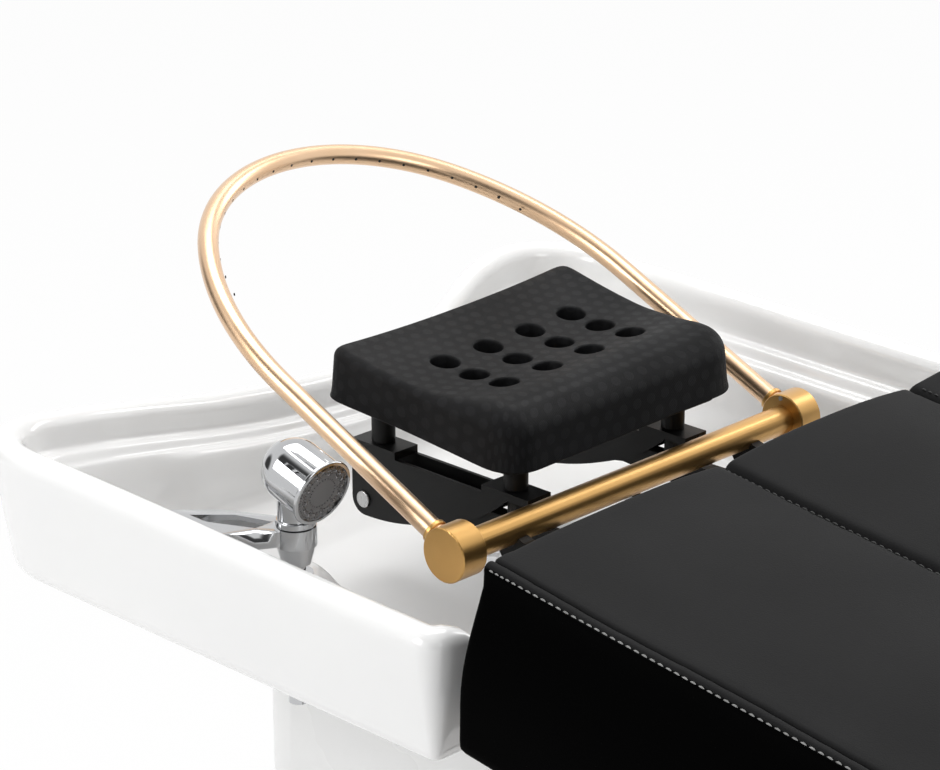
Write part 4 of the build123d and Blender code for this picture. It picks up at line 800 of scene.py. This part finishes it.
def on_seat(x, run, height):
    """A point of the level seat: run from the break to the foot, height over its top."""
    run = SEAT_LENGTH - (SEAT_LENGTH - run) * (1.0 - height * math.tan(SLOPE / 2.0) / SEAT_LENGTH)
    y = BREAK[0] - run * MM
    return np.stack([x * MM, y, BREAK[1] + height * MM], -1)


def cover(name, length, head_radius, tail_radius, place, node, spacing=7.0):
    """A closed cover over one cushion, from the middle of its head end to the middle of its tail end."""
    head_runs, head_insets = end_rows(head_radius)
    tail_runs, tail_insets = end_rows(tail_radius)
    body = np.arange(head_radius, length - tail_radius, spacing)[1:]
    runs = np.concatenate([head_runs[::-1], body, length - tail_runs])
    insets = np.concatenate([head_insets[::-1], np.zeros(len(body)), tail_insets])
    rings = cushion_points(runs, insets, place)
    obj = carried(name, rings, leather, "bed", "black_leather", stands_for=[node])


cover("couch_back_cover", BACK_LENGTH, 5.0, 8.0, on_back, "back_cushion")
cover("couch_seat_cover", SEAT_LENGTH, 8.0, 26.0, on_seat, "seat_cushion")

# %% [markdown]
# The stitching is what makes the cover read as sewn. Each stitch is a short thread, fat in the
# middle and dipping into the cloth at both ends. One stitch is a small closed tube, and all of a
# row's stitches are that tube placed at equal steps along the seam.

# %% Stitch rows
def stitch_row(side_x, height, place, start, stop, step=6.2, size=4.2, radius=0.6, rings=5, around=6):
    """Points and faces of the stitches from start to stop, at x = side_x and at a height over the top."""
    t = np.linspace(-1.0, 1.0, rings)[:, None]
    a = round_steps(around)[None, :]
    thick = radius * np.sqrt(np.clip(1.0 - t ** 2 * 0.92, 0.0, 1.0))
    centres = np.arange(start, stop, step)
    run = centres[:, None, None] + np.broadcast_to(t * size / 2.0, (rings, around))
    x = np.broadcast_to(side_x + thick * np.cos(a), run.shape)
    up = np.broadcast_to(height + (thick * np.sin(a) - 0.5 * radius * t ** 2), run.shape)
    ends = np.array([[0, 1, 2, 3], [0, 3, 4, 5]])
    sides = quads(rings, around, wrap_columns=True)
    one = np.concatenate([sides, ends[:, ::-1], ends + (rings - 1) * around])
    return place(x.ravel(), run.ravel(), up.ravel()), copied(one, len(centres), rings * around)


def stitching(name, side_x, height, start, material):
    """One piece of four stitch rows: both sides of the back and of the seat."""
    threads = [stitch_row(side * side_x, height, place, start, length - 12.0) for side in (-1, 1)
               for place, length in ((on_back, BACK_LENGTH), (on_seat, SEAT_LENGTH))]
    make_piece(name, *joined(threads), material, "bed", "black_leather")


panel_x = SEAM + 5.4
stitching("edge_stitching", 332.4, -0.6, 10.0, thread_pale)
stitching("panel_stitching", panel_x, float(top_height(np.array([panel_x]))[0]) + 0.35, 12.0, thread_grey)

# %% [markdown]
# The water arch is one bent tube. Its centre line is two straight legs, two side arcs and a top
# arc, all in a plane through the bar's axis. A ring of points square to the line, carried along it,
# gives the pipe: at each point the ring spans the plane's normal and the line's own normal.

# %% Arch pipe
SWING = math.radians(24.4)
ACROSS = np.array([1.0, 0.0, 0.0])
ALONG = np.array([0.0, math.cos(SWING), math.sin(SWING)])
NORMAL = np.array([0.0, -math.sin(SWING), math.cos(SWING)])
LEG_X, LEG, TOP, TOP_R = 184.5, 190.0, 406.7, 168.0
PIPE_R = 0.008


def arch_line(step=4.0):
    """The centre line as (x, reach) points and their directions, in millimetres, in the arch's plane."""
    climb = TOP - TOP_R - LEG
    side_r = (climb ** 2 + LEG_X ** 2 - TOP_R ** 2) / (2.0 * (LEG_X - TOP_R))
    side_c = LEG_X - side_r
    turn = math.atan2(climb, -side_c)
    leg = np.stack([np.full(36, LEG_X), np.linspace(15.0, LEG, 36)], -1)
    a = np.linspace(0.0, turn, int(side_r * turn / step))[1:]
    side = np.stack([side_c + side_r * np.cos(a), LEG + side_r * np.sin(a)], -1)
    b = np.linspace(turn, math.pi / 2.0, int(TOP_R * (math.pi / 2.0 - turn) / step))[1:]
    crown = np.stack([TOP_R * np.cos(b), TOP - TOP_R + TOP_R * np.sin(b)], -1)
    half = np.concatenate([leg, side, crown])
    line = np.concatenate([half, half[-2::-1] * np.array([-1.0, 1.0])])
    way = np.gradient(line, axis=0)
    return line, way / np.linalg.norm(way, axis=1, keepdims=True)


def in_plane(flat):
    """A direction (x, reach) of the arch's plane in the bed's frame."""
    return flat[..., :1] * ACROSS + flat[..., 1:2] * ALONG


def in_arch(flat):
    """A point (x, reach) of the arch's plane in the bed's frame."""
    return BAR + in_plane(flat) * MM


def tube_rings(centres, ways, normal, radius, around=32):
    """Rings centre + radius (cos a n + sin a (n x t)) along a line of centres and directions."""
    a = round_steps(around)[None, :, None]
    side = np.cross(normal, ways)
    side /= np.linalg.norm(side, axis=1, keepdims=True)
    radius = np.broadcast_to(radius, (len(centres),))[:, None, None]
    return centres[:, None] + radius * (np.cos(a) * normal + np.sin(a) * side[:, None, :])


line, way = arch_line()
rings = tube_rings(in_arch(line), in_plane(way), NORMAL, PIPE_R)
carried("arch_pipe", rings, champagne, "arch", "champagne_satin", stands_for=["arch_tube"], angle=50)

# %% [markdown]
# Twenty-one spray holes lie round the inner side of the top bend, so that the water falls inside the
# arch. A hole this fine shows only the shade inside it, so each is a plug painted in that shade, let
# into the pipe's skin, with a bevelled edge and a flat end a twentieth of a millimetre proud.

# %% Spray holes
SPRAY_HOLES, SPRAY_ARC, SPRAY_TIP = 21, 73.3, math.radians(8.0)
turns = np.radians(np.linspace(-SPRAY_ARC, SPRAY_ARC, SPRAY_HOLES))
out_flat = np.stack([np.sin(turns), np.cos(turns)], -1)
hole_flat = np.array([0.0, TOP - TOP_R]) + TOP_R * out_flat
along_pipe = in_plane(np.stack([out_flat[:, 1], -out_flat[:, 0]], -1))
drill = NORMAL * math.sin(SPRAY_TIP) - in_plane(out_flat) * math.cos(SPRAY_TIP)
across_pipe = np.cross(drill, along_pipe)


def plugs(profile, around=14):
    """One plug per hole, turned round its drill direction from (radius, height over the skin) pairs."""
    a = round_steps(around)[None, :, None, None]
    reach, height = (np.array(profile) * MM).T[..., None, None, None]
    ring = (np.cos(a) * along_pipe + np.sin(a) * across_pipe) * reach
    grid = (in_arch(hole_flat) + ring + drill * (PIPE_R + height)).transpose(2, 0, 1, 3)
    one = quads(len(profile), around, wrap_columns=True)
    return grid.reshape(-1, 3), copied(one, SPRAY_HOLES, len(profile) * around)


points, faces = plugs([(1.15, -0.35), (1.15, 0.02), (0.9, 0.06), (0.0001, 0.06)])
make_piece("spray_holes", points, faces, hole_shade, "arch", "champagne_satin", angle=40)

# %% [markdown]
# The headrest skin is a soft block with twelve holes through it. Round each hole the top is a cell:
# rings that start as a circle and end as the cell's rectangle, with the same points on every ring,
# so neighbouring cells meet point for point. Rings outside the block of cells grow into the pad's
# rounded outline, roll over its edge and go down the wall. The underside is the same sheet lower down.

# %% Headrest shape
PAD_X, PAD_Y0, PAD_Y1 = 124.0, 5.0, 188.0
PAD_FRONT_R, PAD_REAR_R, PAD_FLARE = 24.0, 12.0, 0.03
PAD_MID = (PAD_Y0 + PAD_Y1) / 2.0
PAD_ROLL = 4.0
CELL_X, CELL_Y, HOLE, PER_SIDE = 45.4, 30.0, 11.0, 8
TOP_ROWS, LOW_ROWS = 95.0, 99.0
TOP_LIP, LOW_LIP = 1.8, 0.6
CELLS = [(i, j) for i in range(4) for j in range(3)]
PAD_LINE = [(-6, 57), (5, 66), (18, 77), (34, 81.5), (60, 79), (98, 76.5), (130, 79.5), (160, 84.5),
            (180, 88.5), (192, 90)]


def pad_top(x, y):
    """Top height: a ridge under the neck, a hollow, a rise to the back, and both sides lifted.

    The middle line is a smooth line through its knots; the sides add 4.5 |u|^2.2 with u = x / 124, less at
    the front, and the soft pad sits PAD_ROLL u askew on its posts, as in the photograph.
    """
    u = x / PAD_X
    return smooth_line(PAD_LINE, y) + (2.5 + 2.0 * ease((y - 40.0) / 120.0)) * np.abs(u) ** 2.2 + PAD_ROLL * u


def pad_low(x, y):
    """The underside: the base plate's plane, 5 degrees up from the front post, and the pad's roll."""
    return 37.0 + (y - 36.0) * math.tan(math.radians(5.0)) + PAD_ROLL / 2.0 * (1.0 + x / PAD_X)


def square_ring(half_x, half_y, nx, ny):
    """Points round a rectangle, nx and ny steps to a side, anticlockwise from its lower right corner."""
    right = np.column_stack([np.ones(ny), np.linspace(-1, 1, ny + 1)[:-1]])
    back = np.column_stack([-np.linspace(-1, 1, nx + 1)[:-1], np.ones(nx)])
    return np.concatenate([right, back, -right, -back]) * np.array([half_x, half_y])


# The outline is made from a unit square. Its edge is rolled by 20 mm at the front, less along the
# sides and by 7 mm at the rear.
block = square_ring(1.0, 1.0, 4 * PER_SIDE, 3 * PER_SIDE)
cell_ring = square_ring(CELL_X / 2, CELL_Y / 2, PER_SIDE, PER_SIDE)
cell_turn = np.arctan2(cell_ring[:, 1] / CELL_Y, cell_ring[:, 0] / CELL_X)
circle = np.stack([np.cos(cell_turn), np.sin(cell_turn)], -1)
REAR_ROLL, FRONT_ROLL = 7.0, 20.0
edge_r = REAR_ROLL + (FRONT_ROLL - REAR_ROLL) * ease((0.3 - block[:, 1]) / 1.3)


def cell_middle(cell, rows_y):
    """The middle of one hole's cell, in a block whose middle row lies at rows_y."""
    i, j = cell
    return np.array([CELL_X * (i - 1.5), rows_y + CELL_Y * (j - 1)])


def pad_outline(inset):
    """The pad's outline moved in by `inset`, one number or one per point, and its outward directions."""
    inset = np.reshape(inset, (-1, 1))
    half = np.array([PAD_X, (PAD_Y1 - PAD_Y0) / 2.0]) - inset
    front, rear = np.maximum(PAD_FRONT_R - inset, 5.0), np.maximum(PAD_REAR_R - inset, 4.0)
    radius = np.where(block[:, 1:] < 0.0, front, rear)
    spot = block * half
    core = np.clip(spot, -(half - radius), half - radius)
    away = spot - core
    outwards = away / np.maximum(np.linalg.norm(away, axis=1, keepdims=True), 1e-9)
    flare = np.column_stack([1.0 + PAD_FLARE * ease(block[:, 1]), np.ones(len(block))])
    return (core + outwards * radius) * flare + np.array([0.0, PAD_MID]), outwards


def on_sheet(height_of, xy, drop=0.0):
    """Points over (x, y) places, `drop` under a sheet."""
    return np.column_stack([xy, height_of(xy[:, 0], xy[:, 1]) - drop])


def ring_grid(rings, flats):
    """Rings of points, each joined to the next, as (points, faces, flat places)."""
    rings = np.array(rings)
    return rings.reshape(-1, 3), quads(*rings.shape[:2], wrap_columns=True), np.array(flats).reshape(-1, 2)


def pad_cell(cell, height_of, flip, lip, rows_y):
    """One cell: round the hole's lip, then from the circle out to the cell's rectangle."""
    centre = cell_middle(cell, rows_y)
    rings, flats = [], []
    for turn in np.linspace(0.0, 1.0, 5) * math.pi / 2.0:
        drop = lip * (1.0 - math.sin(turn))
        xy = centre + circle * (HOLE + lip * (1.0 - math.cos(turn)))
        rings.append(on_sheet(height_of, xy, flip * drop))
        flats.append(centre + circle * (HOLE + lip - drop))
    for share in (0.35, 0.7, 1.0):
        flats.append(centre + circle * (HOLE + lip) * (1 - share) + cell_ring * share)
        rings.append(on_sheet(height_of, flats[-1]))
    return ring_grid(rings, flats)


def pad_sheet(height_of, flip, lip, rows_y):
    """The cells of one side of the pad, and the rings round them out to the foot of its edge roll."""
    inner = block * np.array([2 * CELL_X, 1.5 * CELL_Y]) + np.array([0.0, rows_y])
    outer = pad_outline(edge_r)[0]
    flats = [inner + (outer - inner) * share for share in np.linspace(0.0, 1.0, 9)]
    cells = [pad_cell(cell, height_of, flip, lip, rows_y) for cell in CELLS]
    return cells + [ring_grid([on_sheet(height_of, flat) for flat in flats], flats)]


def pad_bore(cell, levels=8):
    """The wall of one hole, from the foot of its top lip down to its lower lip."""
    ends = [on_sheet(height_of, cell_middle(cell, rows_y) + circle * HOLE, drop)
            for height_of, drop, rows_y in ((pad_top, TOP_LIP, TOP_ROWS), (pad_low, -LOW_LIP, LOW_ROWS))]
    rings = ends[0] + (ends[1] - ends[0]) * np.linspace(0.0, 1.0, levels)[:, None, None]
    depth = (ends[0][:, 2] - rings[..., 2])[..., None]
    return ring_grid(rings, cell_middle(cell, TOP_ROWS) + circle[None] * (HOLE - depth))


# %% Headrest edge
LIP_FOOT = 2.5
rim_xy = pad_outline(edge_r)[0]
rim_z = pad_top(*rim_xy.T)
wall_top = rim_z - edge_r
wall_foot = pad_low(*rim_xy.T) + LIP_FOOT
edge_rings, edge_flats = [], []


def edge_row(inset, run, height=None, gap=0.0):
    """A row round the pad, `run` millimetres round its edge, at a height or `gap` over the underside."""
    xy, outwards = pad_outline(inset)
    edge_rings.append(on_sheet(pad_low, xy, -gap) if height is None else np.column_stack([xy, height]))
    edge_flats.append(rim_xy + outwards * np.reshape(run, (-1, 1)))


for turn in np.radians(np.linspace(0.0, 90.0, 10)):
    edge_row(edge_r * (1.0 - math.sin(turn)), edge_r * turn, rim_z - edge_r * (1.0 - math.cos(turn)))
for share in (0.2, 0.45, 0.7, 0.9):
    edge_row(-2.2 * share, edge_r * math.pi / 2.0 + (wall_top - wall_foot) * share,
             wall_top + (wall_foot - wall_top) * share)
for inset, gap in ((-3.0, 2.2), (-3.3, 1.2), (-2.9, 0.4), (-1.6, 0.0), (5.0, 0.0), (edge_r, 0.0)):
    edge_row(inset, edge_r * math.pi / 2.0 + wall_top - wall_foot + LIP_FOOT - gap, gap=gap)

# %% Headrest skin
sheets = pad_sheet(pad_top, 1.0, TOP_LIP, TOP_ROWS) + pad_sheet(pad_low, -1.0, LOW_LIP, LOW_ROWS)
bores = [pad_bore(cell) for cell in CELLS]
points, faces, flat = joined([*sheets, ring_grid(edge_rings, edge_flats), *bores])
points, faces, flat = weld(points * MM + BAR, faces, flat * MM)
check = bpy.data.meshes.new("headrest_check")
check.from_pydata(points.tolist(), [], faces.tolist())
work = bmesh.new()
work.from_mesh(check)
bmesh.ops.recalc_face_normals(work, faces=work.faces)
print("headrest open edges", sum(1 for e in work.edges if len(e.link_faces) != 2))
work.verts.index_update()
faces = np.array([[v.index for v in f.verts] for f in work.faces])
work.free()
bpy.data.meshes.remove(check)
headrest = make_piece("headrest_skin", points, faces, pad_skin, "headrest", "black_foam",
                      stands_for=["headrest_pad"], flat_map=flat, subdivide=1)

# %% [markdown]
# The CAD parts that are already the right shape only need their facets smoothed and a finish. Each
# gets a copy of its mesh with the loose triangles joined, smooth shading below a set angle, and
# normals weighted by face area, so that flat faces stay flat beside their rounded edges.

# %% Polished copies of the metal and plastic parts
def polished(node, material, body, angle=30.0):
    """A joined, smooth copy of a CAD node that stands for it."""
    mesh = frame["nodes"][node].data.copy()
    mesh.name = node + "_finished"
    work = bmesh.new()
    work.from_mesh(mesh)
    bmesh.ops.remove_doubles(work, verts=work.verts, dist=3e-6)
    work.to_mesh(mesh)
    work.free()
    mesh.materials.clear()
    mesh.materials.append(material)
    mesh.polygons.foreach_set("material_index", np.zeros(len(mesh.polygons), np.int32))
    obj = shown(mesh.name, mesh, angle)
    obj.modifiers.new("flat_faces", "WEIGHTED_NORMAL").keep_sharp = True
    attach(obj, body)
    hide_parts(node)


slot_of = {part["node"]: part["material_slot"] for part in frame["record"]["subparts"]}
body_of = {node: body for body, nodes in frame["record"]["behaviour"]["bodies"].items() for node in nodes}
finish_for = {"black_steel": powder, "gold_satin": gold, "champagne_satin": champagne, "chrome": chrome,
              "steel": steel, "white_shell": shell, "grey_plastic": pipe_grey, "plywood": plywood,
              "black_rubber": rubber, "black_foam": rubber, "black_leather": leather, "white_ceramic": glaze}
dressed = {"basin", "back_cushion", "seat_cushion", "arch_tube", "headrest_pad", "shower_hose"}
for node in frame["nodes"]:
    if node not in dressed:
        finish = plate if node == "shower_face" else finish_for[slot_of[node]]
        polished(node, finish, body_of[node])

# %% [markdown]
# The shower's hose is wound steel strip over a rubber pipe: a tube whose radius rises and falls
# once for every turn of the strip. It runs straight down through its guide in the tap deck.

# %% Shower hose
HOSE_R, RIDGE, STRIP = 0.0041, 0.0005, 0.0026
HOSE_ROWS = 12 * 36 + 1
low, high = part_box("shower_hose")
z = np.linspace(high.z, low.z, HOSE_ROWS)
wave = 0.5 + 0.5 * np.cos((high.z - z) / STRIP * 2.0 * np.pi)
centres = np.column_stack([np.tile([(low.x + high.x) / 2.0, (low.y + high.y) / 2.0], (HOSE_ROWS, 1)), z])
ways = np.tile([0.0, 0.0, -1.0], (HOSE_ROWS, 1))
rings = tube_rings(centres, ways, ACROSS, HOSE_R + RIDGE * wave ** 0.6, around=20)
carried("wound_hose", rings, chrome, "shower", "chrome", stands_for=["shower_hose"], angle=60)

# %% Floor
FLOOR_EDGE, FLOOR_GLOW = 14.0, 0.95
corners = [(x * FLOOR_EDGE, y * FLOOR_EDGE, -0.001) for x, y in ((-1, -1), (1, -1), (1, 1), (-1, 1))]
floor_mesh = bpy.data.meshes.new("floor")
floor_mesh.from_pydata(corners, [], [(0, 1, 2, 3)])
floor = bpy.data.objects.new("floor", floor_mesh)
scene.collection.objects.link(floor)
pale, tree, shader = finish_of("pale_floor", (0.8, 0.8, 0.8), 0.9)
shader.inputs["Specular IOR Level"].default_value = 0.0
glow = tree.nodes.new("ShaderNodeEmission")
glow.inputs["Strength"].default_value = 1.0
seen_share = math_node(tree, "MULTIPLY", seen_rays(tree)[0], FLOOR_GLOW)
mix_shaders(tree, seen_share, shader, glow, tree.nodes["Material Output"])
floor_mesh.materials.append(pale)
